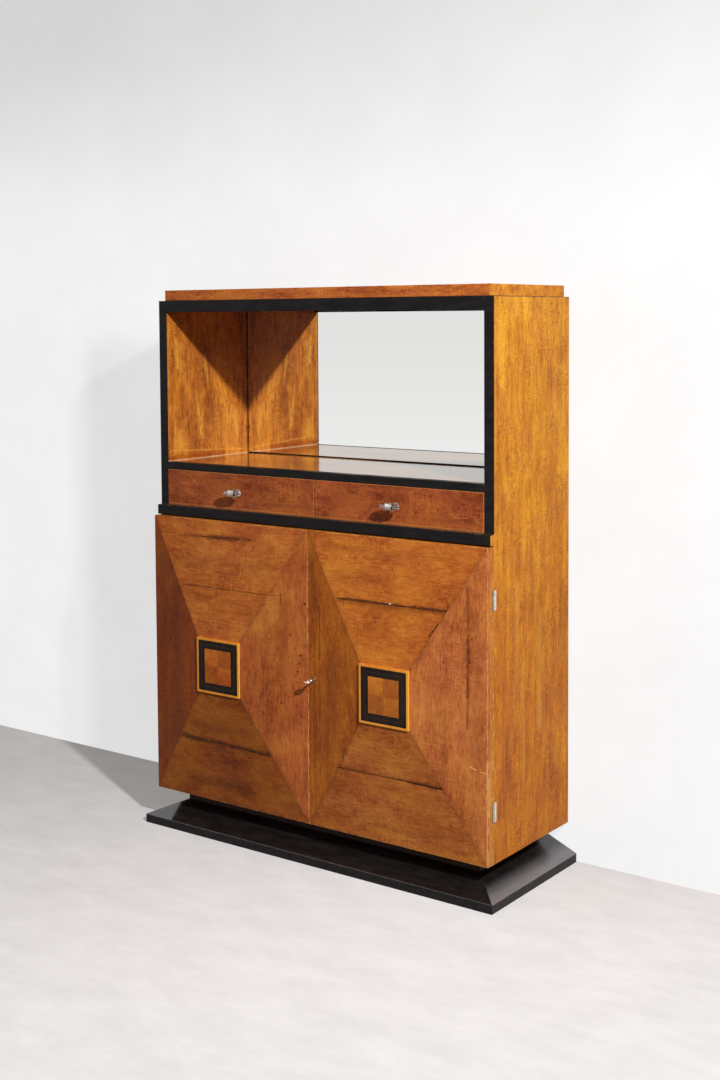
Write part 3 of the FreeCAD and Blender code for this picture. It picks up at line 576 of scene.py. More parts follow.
def figured(tree, place, kind, grain, shift, shade):
    """The veneer figure of one kind of wood."""
    *tones, figure, pores = WOODS[kind]
    colours = {label: paint(*(min(part * scale, 255) for part, scale in zip(tone, shade)))
               for label, tone in zip(("Light", "Middle", "Dark"), tones)}
    layers = dict(zip(("Bands", "Flames", "Mottle", "Clouds"), figure))
    return use(tree, VENEER,
               {"Place": mapped(tree, place, turn=GRAIN_TURNS[grain], shift=shift),
                "Pores": pores, **layers, **colours})


def wood(name, kind, grain="z", shift=(0, 0, 0), marks=(), wear_box=None, gloss=(0.3, 0.42),
         level=0.1, coat=0.0, worn=(214, 160, 100), wear_width=1.0 * MM, shade=(1, 1, 1),
         seen_from="front", lining=None, deepens=None):
    """Veneer or board of one kind, its marks and its worn edges.

    A lining is the wood of one face: its kind and the place along an axis past which it
    shows. Deepens is a low and a high place along Z and the tint at the low one.
    """
    material, tree, shader, place = new_material(
        name, Coat_Weight=coat, Coat_Roughness=0.12, Specular_IOR_Level=level)
    figure = figured(tree, place, kind, grain, shift, shade)
    colour, height, polish = figure["Colour"], figure["Height"], figure["Gloss"]
    if deepens:
        low, high, deep = deepens
        deeper = tint(tree, 1.0, colour, deep, "MULTIPLY")
        up = between(tree, part_of(tree, place, "Z"), low, high)
        colour = tint(tree, up, deeper, colour)
    if lining:
        inner = figured(tree, place, lining["kind"], grain, (0, 0.7, 0.1),
                        lining.get("shade", (1, 1, 1)))
        across = part_of(tree, place, lining.get("axis", "X"))
        share = calc(tree, lining["side"], across, lining["edge"])
        colour = tint(tree, share, colour, inner["Colour"])
    if marks:
        if seen_from == "side":
            face = add(tree, "ShaderNodeCombineXYZ", {"X": part_of(tree, place, "Y"),
                                                      "Z": part_of(tree, place, "Z")}).outputs[0]
        else:
            face = along(tree, "MULTIPLY", place, (1, 0, 1))
        colour, height = marked(tree, face, marks, colour, height)
    if wear_box:
        colour = rubbed(tree, place, wear_box, wear_width, 0.7, colour, worn)
    feed(tree, shader.inputs, Base_Color=colour,
         Roughness=between(tree, polish, 0.0, 1.0, *gloss))
    raise_surface(tree, shader, height, 0.15 * MM, 0.6)
    return material


def lacquer(name, wear_box, level=0.5, coat=0.0, gloss=(0.2, 0.34), worn=(104, 76, 56),
            wear_width=0.5 * MM, shade=1.0, dust_and_sheen=None, bare_ends=None):
    """Black lacquer over wood, rubbed through at its edges.

    Dust and sheen is a pale grey, partly dust and partly painted sheen, that grows along X from
    the first place to the second. Bare ends are bare wood farther than that place from the middle along
    X.
    """
    material, tree, shader, place = new_material(
        name, Specular_IOR_Level=level, Coat_Weight=coat, Coat_Roughness=0.06)
    brushed = noise(tree, mapped(tree, place, (0.3, 1, 1)), 60.0, 4.0, 0.6)
    colour = tint(tree, between(tree, brushed, 0.35, 0.7),
                  paint(*(part * shade for part in (22, 20, 21))),
                  paint(*(part * shade for part in (36, 33, 33))))
    hand = use(tree, HANDLING, {"Place": place})
    if dust_and_sheen:
        # Painted sheen, partly dust: a pale grey over the lacquer that grows toward the slope's outer
        # edge.
        cloudy = noise(tree, mapped(tree, place, (1, 0.3, 1)), 16.0, 4.0, 0.6)
        sheen_share = calc(tree, "MULTIPLY", between(tree, part_of(tree, place, "X"), *dust_and_sheen),
                     between(tree, cloudy, 0.25, 0.75, 0.8, 1.1))
        colour = tint(tree, sheen_share, colour, paint(112, 107, 108))
    if bare_ends:
        share = calc(tree, "GREATER_THAN", calc(tree, "ABSOLUTE", part_of(tree, place, "X")),
                     bare_ends)
        timber = figured(tree, place, "side", "z", (0, 0, 0), (0.98, 0.96, 0.9))
        colour = tint(tree, share, colour, timber["Colour"])
    colour = rubbed(tree, place, wear_box, wear_width, 0.8, colour, worn)
    feed(tree, shader.inputs, Base_Color=colour,
         Roughness=between(tree, hand["Gloss"], 0.0, 1.0, *gloss))
    height = calc(tree, "SUBTRACT", noise(tree, place, 130.0, 2.0), hand["Scratches"])
    raise_surface(tree, shader, height, 0.04 * MM, 0.4)
    return material


def nickel(name="nickel", bright=(196, 193, 184), dull=(128, 122, 110), gloss=(0.16, 0.36)):
    """Plated metal, a little tarnished."""
    material, tree, shader, place = new_material(name, Metallic=1.0)
    tarnish = between(tree, noise(tree, place, 160.0, 5.0, 0.7), 0.4, 0.75)
    hand = use(tree, HANDLING, {"Place": place})
    feed(tree, shader.inputs, Base_Color=tint(tree, tarnish, paint(*bright), paint(*dull)),
         Roughness=between(tree, tarnish, 0.0, 1.0, *gloss))
    raise_surface(tree, shader, hand["Scratches"], -0.03 * MM, 0.4)
    return material


def clear_glass():
    """Clear polished glass with slight waviness."""
    material, tree, shader, place = new_material(
        "clear glass", Base_Color=(1, 1, 1, 1), Metallic=0.0, IOR=1.49,
        Transmission_Weight=1.0)
    hand = use(tree, HANDLING, {"Place": place})
    feed(tree, shader.inputs, Roughness=between(tree, hand["Gloss"], 0.0, 1.0, 0.01, 0.05))
    raise_surface(tree, shader, noise(tree, place, 120.0, 2.0), 0.05 * MM, 0.4)
    return material


def silvered_glass():
    """The mirror's face: bright silver with a few spots of foxing and faint dust."""
    material, tree, shader, place = new_material("silvered glass", Metallic=1.0)
    foxing = between(tree, noise(tree, place, 42.0, 6.0, 0.8), 0.74, 0.8)
    dust = between(tree, noise(tree, place, 14.0, 6.0, 0.7), 0.4, 0.75, 0.0, 0.03)
    feed(tree, shader.inputs, Roughness=calc(tree, "ADD", dust, 0.006),
         Base_Color=tint(tree, foxing, paint(250, 251, 250), paint(120, 112, 100)))
    return material


def dark_glass_edge():
    """The unsilvered rim of the mirror, dark behind its glass."""
    material, tree, shader, place = new_material("dark glass edge", Specular_IOR_Level=0.2)
    worn = between(tree, noise(tree, place, 60.0, 4.0), 0.4, 0.7)
    feed(tree, shader.inputs, Base_Color=tint(tree, worn, paint(18, 14, 11), paint(44, 32, 22)),
         Roughness=between(tree, worn, 0.0, 1.0, 0.2, 0.5))
    return material


# Modelling helpers

def deselect():
    bpy.ops.object.select_all(action="DESELECT")


def activate(piece):
    deselect()
    piece.select_set(True)
    bpy.context.view_layer.objects.active = piece


def settle(name):
    """Names the new piece and puts its place, turn and size into its mesh."""
    piece = bpy.context.object
    piece.name = name
    piece.data.name = name
    bpy.ops.object.transform_apply(location=True, rotation=True, scale=True)
    return piece


def block(name, low, high):
    """A block between two corners."""
    low, high = Vector(low), Vector(high)
    deselect()
    bpy.ops.mesh.primitive_cube_add(size=1, location=(low + high) / 2)
    bpy.ops.transform.resize(value=high - low)
    return settle(name)


def pick(piece, kind, test):
    """In edit mode, selects the vertices, edges or faces that pass a test."""
    activate(piece)
    bpy.ops.object.mode_set(mode="EDIT")
    bpy.ops.mesh.select_mode(type=kind)
    bpy.ops.mesh.select_all(action="DESELECT")
    bpy.ops.object.mode_set(mode="OBJECT")
    parts = {"VERT": "vertices", "EDGE": "edges", "FACE": "polygons"}[kind]
    for part in getattr(piece.data, parts):
        part.select = test(part)
    bpy.ops.object.mode_set(mode="EDIT")


def leave_edit():
    bpy.ops.object.mode_set(mode="OBJECT")


def apply_modifier(piece, kind, **settings):
    """Adds a modifier and applies it."""
    activate(piece)
    modifier = piece.modifiers.new(kind.lower(), kind)
    for name, value in settings.items():
        setattr(modifier, name, value)
    bpy.ops.object.modifier_apply(modifier=modifier.name)


def ease(piece, width, segments=2, angle=30):
    """Rounds the sharp edges of a piece."""
    apply_modifier(piece, "BEVEL", width=width, segments=segments, limit_method="ANGLE",
                   angle_limit=math.radians(angle))
    return smooth(piece)


def smooth(piece):
    activate(piece)
    bpy.ops.object.shade_smooth_by_angle(angle=SMOOTH_ANGLE)
    return piece


def join(name, pieces):
    """Makes one piece of several."""
    deselect()
    for piece in pieces:
        piece.select_set(True)
    bpy.context.view_layer.objects.active = pieces[0]
    bpy.ops.object.join()
    joined = bpy.context.object
    joined.name = name
    joined.data.name = name
    return joined


def carve(piece, cutter):
    """Cuts one piece out of another and removes the cutter."""
    apply_modifier(piece, "BOOLEAN", object=cutter, operation="DIFFERENCE", solver="EXACT")
    bpy.data.objects.remove(cutter)
    return piece


def copied(piece, name, place, axis, spin=0.0):
    """A copy of a piece made at the origin along Z, spun, then stood at a place along an axis."""
    activate(piece)
    bpy.ops.object.duplicate()
    copy = bpy.context.object
    copy.rotation_mode = "QUATERNION"
    copy.rotation_quaternion = (Z_AXIS.rotation_difference(Vector(axis))
                                @ Quaternion(Z_AXIS, spin))
    copy.location = place
    return settle(name)


def discard(piece):
    bpy.data.objects.remove(piece)


def arc(place, radius, size, first, last, steps):
    """Outline points on an arc, as (place along the axis, radius) pairs. Angles in degrees."""
    points = []
    for step in range(steps + 1):
        angle = math.radians(first + (last - first) * step / steps)
        points.append((place + size * math.cos(angle), radius + size * math.sin(angle)))
    return points


def turned(name, foot, axis, outline, sides, hollow=False):
    """A piece turned on a lathe. The outline holds (distance from the foot, radius) pairs.

    A hollow piece's outline ends where it starts.
    """
    foot, axis = Vector(foot), Vector(axis)
    first_place, first_radius = outline[0]
    deselect()
    bpy.ops.mesh.primitive_circle_add(
        vertices=sides, radius=first_radius, fill_type="NOTHING" if hollow else "NGON",
        location=foot + axis * first_place,
        rotation=Z_AXIS.rotation_difference(axis).to_euler())
    piece = settle(name)
    bpy.ops.object.mode_set(mode="EDIT")
    bpy.ops.mesh.select_all(action="SELECT")
    for (place, radius), (next_place, next_radius) in zip(outline, outline[1:]):
        bpy.ops.mesh.extrude_region_move(
            TRANSFORM_OT_translate={"value": axis * (next_place - place)})
        if next_radius != radius:
            size = next_radius / radius
            bpy.ops.transform.resize(value=(size, size, size),
                                     center_override=foot + axis * next_place)
    bpy.ops.mesh.select_all(action="SELECT")
    bpy.ops.mesh.remove_doubles(threshold=MERGE_DISTANCE / 2)
    bpy.ops.mesh.normals_make_consistent(inside=False)
    leave_edit()
    return smooth(piece)


def painted(piece, material):
    """Gives a piece one material."""
    piece.data.materials.clear()
    piece.data.materials.append(material)
    return piece


def dress(piece, body, material):
    """Gives a finished piece its body and its material."""
    painted(piece, material)
    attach(piece, body)


def middle_of(node):
    """The middle of a node's box."""
    low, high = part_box(node)
    return (low + high) / 2


# Screws

def screw_pattern(radius):
    """A countersunk slotted screw head at the origin, facing +Z, in proportion to its radius."""
    head = turned("screw_pattern", (0, 0, 0), Z_AXIS,
                  [(-0.3 * radius, 0.7 * radius), (0, radius), (0.04 * radius, 0.98 * radius),
                   (0.09 * radius, 0.86 * radius), (0.11 * radius, 0.6 * radius)], sides=24)
    slot = block("slot", (-1.2 * radius, -0.11 * radius, -0.1 * radius),
                 (1.2 * radius, 0.11 * radius, 0.3 * radius))
    return smooth(carve(head, slot))


def screws(pattern, name, places, axis):
    """Copies of a screw at several places, each with its slot turned another way."""
    return [copied(pattern, f"{name}_{number}", place, axis, 0.35 + 1.3 * number)
            for number, place in enumerate(places)]


# Fittings

HINGE_LENGTH = 44.0 * MM
HINGE_BARREL = 2.8 * MM
HINGE_LEAF = 1.5 * MM
HINGE_MOVING = 16.0 * MM
HINGE_GAP = 0.2 * MM
HINGE_AXIS_Y = CARCASS_FRONT - 3.2 * MM
HINGE_SCREW = 1.5 * MM


def knuckle(name, x, low, high):
    """One rolled knuckle of a hinge, with eased rims."""
    rim = 0.35 * MM
    length = high - low
    outline = [(0, HINGE_BARREL - rim), *arc(rim, HINGE_BARREL - rim, rim, 150, 90, 2),
               *arc(length - rim, HINGE_BARREL - rim, rim, 90, 30, 2),
               (length, HINGE_BARREL - rim)]
    return turned(name, (x, HINGE_AXIS_Y, low), Z_AXIS, outline, sides=32)


def hinge_middles(side):
    """The heights of the two hinges' middles."""
    low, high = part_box(f"{side}_hinge_case_leaves")
    return (low.z + HINGE_LENGTH / 2, high.z - HINGE_LENGTH / 2)


def leaf(name, side, front, rear, low, high):
    """A hinge leaf let into a side, its outer face flush."""
    x = sorted((SIDES[side] * (HALF_WIDTH - HINGE_LEAF), SIDES[side] * HALF_WIDTH))
    return ease(block(name, (x[0], front, low), (x[1], rear, high)), 0.25 * MM)


def hinge_halves(side, half, leaf_run, web_run, spans, spread, metals, screw):
    """One half of a side's hinges: leaves, knuckles with their webs, and screws.

    The runs lie along Y. Spans are the knuckles' ends above a hinge's middle and spread is
    the screws' distance from it. The metals are the leaf's, knuckle's, web's and screw's.
    """
    leaf_metal, knuckle_metal, web_metal, screw_metal = metals
    outward = X_AXIS * SIDES[side]
    x = SIDES[side] * HALF_WIDTH
    pieces = []
    for number, middle in enumerate(hinge_middles(side)):
        name = f"{side}_{half}_hinge_{number}"
        pieces.append(painted(leaf(name + "_leaf", side, *leaf_run, middle - HINGE_LENGTH / 2,
                                   middle + HINGE_LENGTH / 2), leaf_metal))
        for part, (start, end) in enumerate(spans):
            low, high = middle + start, middle + end
            pieces.append(painted(knuckle(f"{name}_knuckle_{part}", x, low, high), knuckle_metal))
            pieces.append(painted(leaf(f"{name}_web_{part}", side, *web_run, low, high),
                                  web_metal))
        places = [(x, sum(leaf_run) / 2, middle + way * spread) for way in (-1, 1)]
        pieces += [painted(head, screw_metal)
                   for head in screws(screw, name + "_screw", places, outward)]
    return join(f"{side}_{half}_hinges", pieces)


def case_hinges(side, metal, dull, dark, screw):
    """The fixed leaves with their outer knuckles and screws; the webs where they bend are dark with
    painted shade.
    """
    _, high_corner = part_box(f"{side}_hinge_case_leaves")
    end, inner = HINGE_LENGTH / 2, HINGE_MOVING / 2 + HINGE_GAP
    # The webs take the dark metal: painted shade in the crease between leaf and knuckle.
    hinges = hinge_halves(side, "case", (CARCASS_FRONT, high_corner.y),
                          (HINGE_AXIS_Y + HINGE_BARREL / 2, CARCASS_FRONT),
                          ((-end, -inner), (inner, end)), 0.33 * HINGE_LENGTH,
                          (metal, dull, dark, dull), screw)
    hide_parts(f"{side}_hinge_case_leaves")
    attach(hinges, "cabinet")


def door_hinges(side, dull, stained, screw):
    """The moving leaves, tinted brown, with their middle knuckle and screws."""
    low_corner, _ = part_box(f"{side}_hinge_door_leaves")
    leaf_rear = HINGE_AXIS_Y - HINGE_BARREL - HINGE_GAP
    hinges = hinge_halves(side, "door", (low_corner.y, leaf_rear),
                          (leaf_rear, HINGE_AXIS_Y - HINGE_BARREL / 2),
                          ((-HINGE_MOVING / 2, HINGE_MOVING / 2),), 0.36 * HINGE_LENGTH,
                          (stained, dull, stained, stained), screw)
    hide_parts(f"{side}_hinge_door_leaves")
    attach(hinges, f"{side}_door")


PULL_BORE = 2.2 * MM
COLLAR_WIDTH = 19.0 * MM
COLLAR_FIT = 0.03 * MM
COLLAR_LIP = 9.6 * MM
COLLAR_GROOVE = 8.4 * MM
COLLAR_RIBS = 5
STEM_RADIUS = 3.6 * MM
ROSE_RADIUS = 7.4 * MM
SPIGOT_RADIUS = 3.0 * MM
SPIGOT_LENGTH = 14.0 * MM


def pull_glass(side, glass):
    """A clear tube with polished, rounded ends and a narrow bore."""
    node = f"{side}_pull_glass"
    low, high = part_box(node)
    radius, length = (high.z - low.z) / 2, high.x - low.x
    polish, rim = 1.2 * MM, 0.4 * MM
    outline = [(rim, PULL_BORE), (0, PULL_BORE + rim),
               *arc(polish, radius - polish, polish, 180, 90, 5),
               *arc(length - polish, radius - polish, polish, 90, 0, 5),
               (length, PULL_BORE + rim), (length - rim, PULL_BORE), (rim, PULL_BORE)]
    foot = middle_of(node) - X_AXIS * length / 2
    tube = turned(f"{side}_pull_tube", foot, X_AXIS, outline, sides=56, hollow=True)
    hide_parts(node)
    dress(tube, f"{side}_drawer", glass)


def pull_collar(side, metal):
    """A finely ribbed collar round the tube, on a stem with a rose against the drawer."""
    glass_low, glass_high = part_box(f"{side}_pull_glass")
    middle = (glass_low + glass_high) / 2
    bore = (glass_high.z - glass_low.z) / 2 + COLLAR_FIT
    edge, lip = 0.4 * MM, 1.5 * MM
    ribs_width = COLLAR_WIDTH - 2 * lip
    steps = 8 * COLLAR_RIBS
    ribs = [(lip + ribs_width * step / steps,
             COLLAR_GROOVE + (COLLAR_LIP - COLLAR_GROOVE) * 0.8
             * abs(math.sin(math.pi * COLLAR_RIBS * step / steps)))
            for step in range(steps + 1)]
    outline = [(0, bore), (0, COLLAR_LIP - edge), (edge, COLLAR_LIP),
               (lip - edge, COLLAR_LIP), *ribs, (COLLAR_WIDTH - lip + edge, COLLAR_LIP),
               (COLLAR_WIDTH - edge, COLLAR_LIP), (COLLAR_WIDTH, COLLAR_LIP - edge),
               (COLLAR_WIDTH, bore), (0, bore)]
    ring = turned(f"{side}_pull_ring", middle - X_AXIS * COLLAR_WIDTH / 2, X_AXIS, outline,
                  sides=56, hollow=True)
    start = bore + 0.7 * MM
    length = CARCASS_FRONT - (middle.y + start)
    rose = 2.0 * MM
    stem_outline = [
        (0, STEM_RADIUS * 1.15), (length * 0.2, STEM_RADIUS), (length * 0.5, STEM_RADIUS * 0.84),
        (length * 0.7, STEM_RADIUS * 0.95), (length - rose * 1.9, STEM_RADIUS * 1.25),
        *arc(length - rose * 1.4, STEM_RADIUS * 1.2, rose * 0.4, 180, 20, 4),
        (length - rose, STEM_RADIUS * 1.3), *arc(length - rose / 2, ROSE_RADIUS - rose / 2,
                                                 rose / 2, 180, 90, 4),
        (length, ROSE_RADIUS), (length, SPIGOT_RADIUS), (length + SPIGOT_LENGTH, SPIGOT_RADIUS)]
    stem = turned(f"{side}_pull_stem", middle + Y_AXIS * start, Y_AXIS, stem_outline, sides=44)
    collar = join(f"{side}_pull_mount", [ring, stem])
    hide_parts(f"{side}_pull_collar")
    dress(collar, f"{side}_drawer", metal)


KEY_BOW = 6.5 * MM
KEY_WIRE = 3.4 * MM
KEY_FLATNESS = 0.6
KEY_SHANK = 2.1 * MM
KEY_BIT = (8.1 * MM, 3.3 * MM, 1.6 * MM)


def key_piece(metal):
    """A cabinet key: an oval bow, turned collars, a shank and a notched bit."""
    low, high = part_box("key")
    middle = (low + high) / 2
    squeeze = 0.84
    bow_middle = Vector((middle.x, low.y + (KEY_BOW + KEY_WIRE) * squeeze, middle.z))
    deselect()
    bpy.ops.mesh.primitive_torus_add(major_radius=KEY_BOW, minor_radius=KEY_WIRE,
                                     major_segments=48, minor_segments=16,
                                     location=bow_middle)
    bpy.ops.transform.resize(value=(1.0, squeeze, KEY_FLATNESS))
    bow = smooth(settle("key_bow"))
    start = bow_middle + Y_AXIS * ((KEY_BOW + KEY_WIRE * 0.7) * squeeze)
    reach = high.y - start.y
    tip = 0.5 * MM
    outline = [
        (0, 1.8 * MM), (1.0 * MM, 2.2 * MM), *arc(2.6 * MM, 2.5 * MM, 0.9 * MM, 180, 0, 6),
        (3.6 * MM, 2.0 * MM), (4.6 * MM, 2.0 * MM), *arc(5.5 * MM, 2.3 * MM, 0.7 * MM, 180, 0, 6),
        (6.4 * MM, 1.9 * MM), (7.4 * MM, KEY_SHANK), (reach - tip, KEY_SHANK),
        (reach, KEY_SHANK - tip)]
    shank = turned("key_shank", start, Y_AXIS, outline, sides=36)
    bit_reach, bit_length, bit_thickness = KEY_BIT
    bit_end = Vector((middle.x + bit_reach, high.y, middle.z + bit_thickness / 2))
    bit = block("key_bit", (middle.x + KEY_SHANK / 2, high.y - bit_length,
                            middle.z - bit_thickness / 2), bit_end)
    notch = 1.1 * MM
    for share in (0.3, 0.62):
        across = bit_end.y - bit_length * share
        carve(bit, block("notch", (bit_end.x - 2.2 * notch, across - notch / 3, middle.z - notch),
                         (bit_end.x + notch, across + notch / 3, middle.z + notch)))
    key = join("door_key", [bow, shank, ease(bit, 0.12 * MM)])
    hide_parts("key")
    dress(key, "key_body", metal)


PLATE_WIDTH = 7.4 * MM
PLATE_HEIGHT = 18.0 * MM
PLATE_THICKNESS = 1.2 * MM


def escutcheon_plate(metal):
    """A small rounded keyhole plate with two pins, flat on the sloping facet."""
    node_middle = middle_of("escutcheon")
    plaque_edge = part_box("right_plaque_stringing")[0].x
    run = plaque_edge - DOOR_LOW.x
    slope = FACET_RISE / run
    key_x = middle_of("key").x
    seat = Vector((key_x, FACET_RIM - slope * (key_x - DOOR_LOW.x), node_middle.z))
    deselect()
    bpy.ops.mesh.primitive_cylinder_add(vertices=48, radius=PLATE_WIDTH / 2,
                                        depth=PLATE_THICKNESS, rotation=(math.pi / 2, 0, 0),
                                        location=(0, -PLATE_THICKNESS / 2, 0))
    plate = settle("escutcheon_plate")
    stretch = (PLATE_HEIGHT - PLATE_WIDTH) / 2
    hair = 0.01 * MM
    for way in (1, -1):
        pick(plate, "VERT", lambda vertex: vertex.co.z * way > hair)
        bpy.ops.transform.translate(value=(0, 0, way * stretch))
        leave_edit()
    plate = ease(plate, 0.45 * MM, 3, 60)
    hole = KEY_SHANK + 0.3 * MM
    deselect()
    bpy.ops.mesh.primitive_cylinder_add(vertices=32, radius=hole, depth=4 * PLATE_THICKNESS,
                                        rotation=(math.pi / 2, 0, 0))
    round_hole = settle("round_hole")
    carve(plate, round_hole)
    carve(plate, block("slot", (-hole * 0.42, -PLATE_THICKNESS * 2, -hole * 2.5),
                       (hole * 0.42, PLATE_THICKNESS, 0)))
    pins = [turned(f"plate_pin_{way}", (0, -PLATE_THICKNESS, way * PLATE_HEIGHT * 0.39), -Y_AXIS,
                   [(-0.2 * MM, 1.0 * MM), (0.05 * MM, 1.0 * MM), (0.3 * MM, 0.8 * MM),
                    (0.42 * MM, 0.4 * MM)], sides=16) for way in (1, -1)]
    plate = join("keyhole_plate", [plate, *pins])
    plate.rotation_euler = (0, 0, -math.atan(slope))
    plate.location = seat
    activate(plate)
    plate = settle("keyhole_plate")
    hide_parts("escutcheon")
    dress(plate, "right_door", metal)


def lock_screws(metal, screw):
    """The screws of the lock's case on the back of the right door."""
    low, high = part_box("lock_case")
    inset = 5.0 * MM
    places = [(x, high.y, z) for x in (low.x + inset, high.x - inset)
              for z in (low.z + inset, high.z - inset)]
    heads = join("lock_case_screws", screws(screw, "lock_screw", places, Y_AXIS))
    dress(heads, "right_door", metal)


def bolt_plate(metal, screw):
    """The slotted plate that keeps the sliding bolt in the left door."""
    low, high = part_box("left_door_bolt")
    margin, thickness = 3.0 * MM, 0.3 * MM
    travel = frame_range("left_bolt_slide")
    knob_width, knob_height, clearance = 4.0 * MM, 8.0 * MM, 0.5 * MM
    door_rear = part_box("left_door_core")[1].y
    plate = block("bolt_plate", (low.x - margin, door_rear, low.z - margin),
                  (high.x + margin, door_rear + thickness, high.z))
    knob_low = low.z + (high.z - low.z) / 3
    middle = (low.x + high.x) / 2
    slot = block("slot", (middle - knob_width / 2 - clearance, door_rear - thickness,
                          knob_low - clearance),
                 (middle + knob_width / 2 + clearance, door_rear + 3 * thickness,
                  knob_low + knob_height + travel + clearance))
    carve(plate, slot)
    plate = ease(plate, 0.12 * MM)
    places = [(middle, door_rear + thickness * 0.7, z)
              for z in (low.z + margin, high.z - 3 * margin)]
    plate = join("bolt_plate", [plate, *screws(screw, "bolt_screw", places, Y_AXIS)])
    dress(plate, "left_door", metal)


def frame_range(joint):
    """How far a joint slides from its rest, in metres."""
    facts = next(item for item in frame["joints"] if item["name"] == joint)
    return facts["range_m"][1]


MIRROR_RIM = 3.0 * MM
MIRROR_BEVEL = 1.0 * MM


def mirror_plate(silver, rim):
    """The mirror: a silvered face within a bevelled rim that has lost its silver."""
    low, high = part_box("mirror")
    plate = block("mirror_plate", (low.x, low.y + MIRROR_BEVEL, low.z), high)
    pick(plate, "FACE", lambda face: face.normal.y < -0.9)
    bpy.ops.mesh.inset(thickness=MIRROR_RIM, use_even_offset=True)
    bpy.ops.transform.translate(value=(0, -MIRROR_BEVEL, 0))
    leave_edit()
    plate.data.materials.append(silver)
    plate.data.materials.append(rim)
    for face in plate.data.polygons:
        face.material_index = 0 if face.select else 1
    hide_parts("mirror")
    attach(plate, "cabinet")


PEG_RADIUS = 2.6 * MM
PEG_REACH = 9.0 * MM


def shelf_pegs(metal):
    """Four pegs in the sides that carry the lower shelf."""
    low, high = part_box("lower_shelf")
    outline = [(0, PEG_RADIUS), (PEG_REACH - 0.6 * MM, PEG_RADIUS),
               *arc(PEG_REACH - 0.6 * MM, PEG_RADIUS - 0.6 * MM, 0.6 * MM, 90, 10, 3)]
    pattern = turned("peg_pattern", (0, 0, 0), Z_AXIS, outline, sides=24)
    pegs = []
    for side, way in SIDES.items():
        for number, share in enumerate((0.14, 0.86)):
            place = (way * SIDE_INNER, low.y + (high.y - low.y) * share, low.z - PEG_RADIUS)
            pegs.append(copied(pattern, f"{side}_peg_{number}", place, -way * X_AXIS))
    discard(pattern)
    dress(join("shelf_pegs", pegs), "cabinet", metal)


TAIL_COUNT = 4


def dovetails(side, timber):
    """The tails of a drawer side, let into the end of the drawer's front."""
    low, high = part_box(f"{side}_drawer_front")
    box_low, box_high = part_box(f"{side}_drawer_box")
    way = SIDES[side]
    end_x = high.x if way > 0 else low.x
    proud, sunk = 0.12 * MM, 0.5 * MM
    x = sorted((end_x + way * proud, end_x - way * sunk))
    pitch = (box_high.z - box_low.z) / TAIL_COUNT
    tails = []
    for number in range(TAIL_COUNT):
        middle = box_low.z + pitch * (number + 0.5)
        tail = block(f"{side}_tail_{number}", (x[0], low.y + 7.0 * MM, middle - pitch * 0.27),
                     (x[1], high.y, middle + pitch * 0.27))
        pick(tail, "VERT", lambda vertex: vertex.co.y < high.y - 1.0 * MM)
        bpy.ops.transform.resize(value=(1, 1, 1.45), center_override=(end_x, low.y, middle))
        leave_edit()
        tails.append(tail)
    dress(join(f"{side}_drawer_dovetails", tails), f"{side}_drawer", timber)


BACK_MARGIN = 46.0 * MM
BACK_RECESS = 2.5 * MM


def back_board(timber, metal, screw):
    """The back: a board with three sunk panels and screws round its edge."""
    low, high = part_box("back_panel")
    board = block("back_board", low, high)
    pick(board, "EDGE", lambda edge: abs(
        (board.data.vertices[edge.vertices[0]].co - board.data.vertices[edge.vertices[1]].co).z)
        > BACK_MARGIN)
    bpy.ops.mesh.subdivide(number_cuts=2)
    leave_edit()
    pick(board, "FACE", lambda face: face.normal.y > 0.9)
    bpy.ops.mesh.inset(thickness=BACK_MARGIN / 2, use_even_offset=True, use_individual=True)
    bpy.ops.mesh.inset(thickness=BACK_RECESS, depth=-BACK_RECESS, use_even_offset=True,
                       use_individual=True)
    leave_edit()
    board = ease(board, 0.8 * MM, 2, 40)
    inset = BACK_MARGIN / 4
    rows = [low.z + (high.z - low.z) * share for share in (0.01, 1 / 3, 2 / 3, 0.99)]
    places = [(x, high.y, z) for x in (low.x + inset, 0, high.x - inset) for z in rows]
    sink = turned("sink", (0, 0, 0), Z_AXIS, [(-0.6 * MM, 2.0 * MM), (0.4 * MM, 3.4 * MM)],
                  sides=20)
    sinks = join("sinks", [copied(sink, "sink_copy", place, Y_AXIS) for place in places])
    discard(sink)
    carve(board, sinks)
    dress(board, "cabinet", timber)
    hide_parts("back_panel")
    heads = screws(screw, "back_screw", [Vector(place) - Y_AXIS * 0.45 * MM for place in places],
                   Y_AXIS)
    dress(join("back_screws", heads), "cabinet", metal)


NICKELS = {
    "polished": ((255, 253, 242), (226, 216, 190), (0.16, 0.34)),
    "worn": ((232, 227, 214), (188, 174, 150), (0.2, 0.36)),
    "dull": ((178, 166, 146), (122, 104, 80), (0.3, 0.45)),
    # Brown-tinted metal for the moving leaves, so that they blend with the wood beside them.
    "stained": ((214, 156, 92), (164, 106, 58), (0.4, 0.55)),
    # Dark metal for the fixed hinges' webs: painted shade in the crease between leaf and knuckle.
    "grimy": ((84, 66, 50), (52, 40, 30), (0.5, 0.7)),
    "aged": ((164, 146, 118), (104, 86, 62), (0.3, 0.5)),
    "matt": ((184, 176, 166), (134, 125, 113), (0.5, 0.66)),
}
BARE_GLOSS = (0.5, 0.65)


def build_fittings(metal, glass):
    """All the modelled fittings."""
    screw = screw_pattern(HINGE_SCREW)
    plated = {name: nickel(name + " nickel", *look) for name, look in NICKELS.items()}
    for side in SIDES:
        case_hinges(side, plated["worn"], plated["dull"], plated["grimy"], screw)
        door_hinges(side, plated["dull"], plated["stained"], screw)
        pull_glass(side, glass)
        pull_collar(side, plated["matt"])
        dovetails(side, wood(side + " dovetails", "plain", "y", gloss=BARE_GLOSS))
    key_piece(plated["polished"])
    escutcheon_plate(plated["aged"])
    lock_screws(metal, screw)
    bolt_plate(metal, screw)
    mirror_plate(silvered_glass(), dark_glass_edge())
    shelf_pegs(metal)
    back_board(wood("back board", "back", gloss=(0.55, 0.7), level=0.2), metal, screw)
    discard(screw)


# Finishes on the carried-over pieces

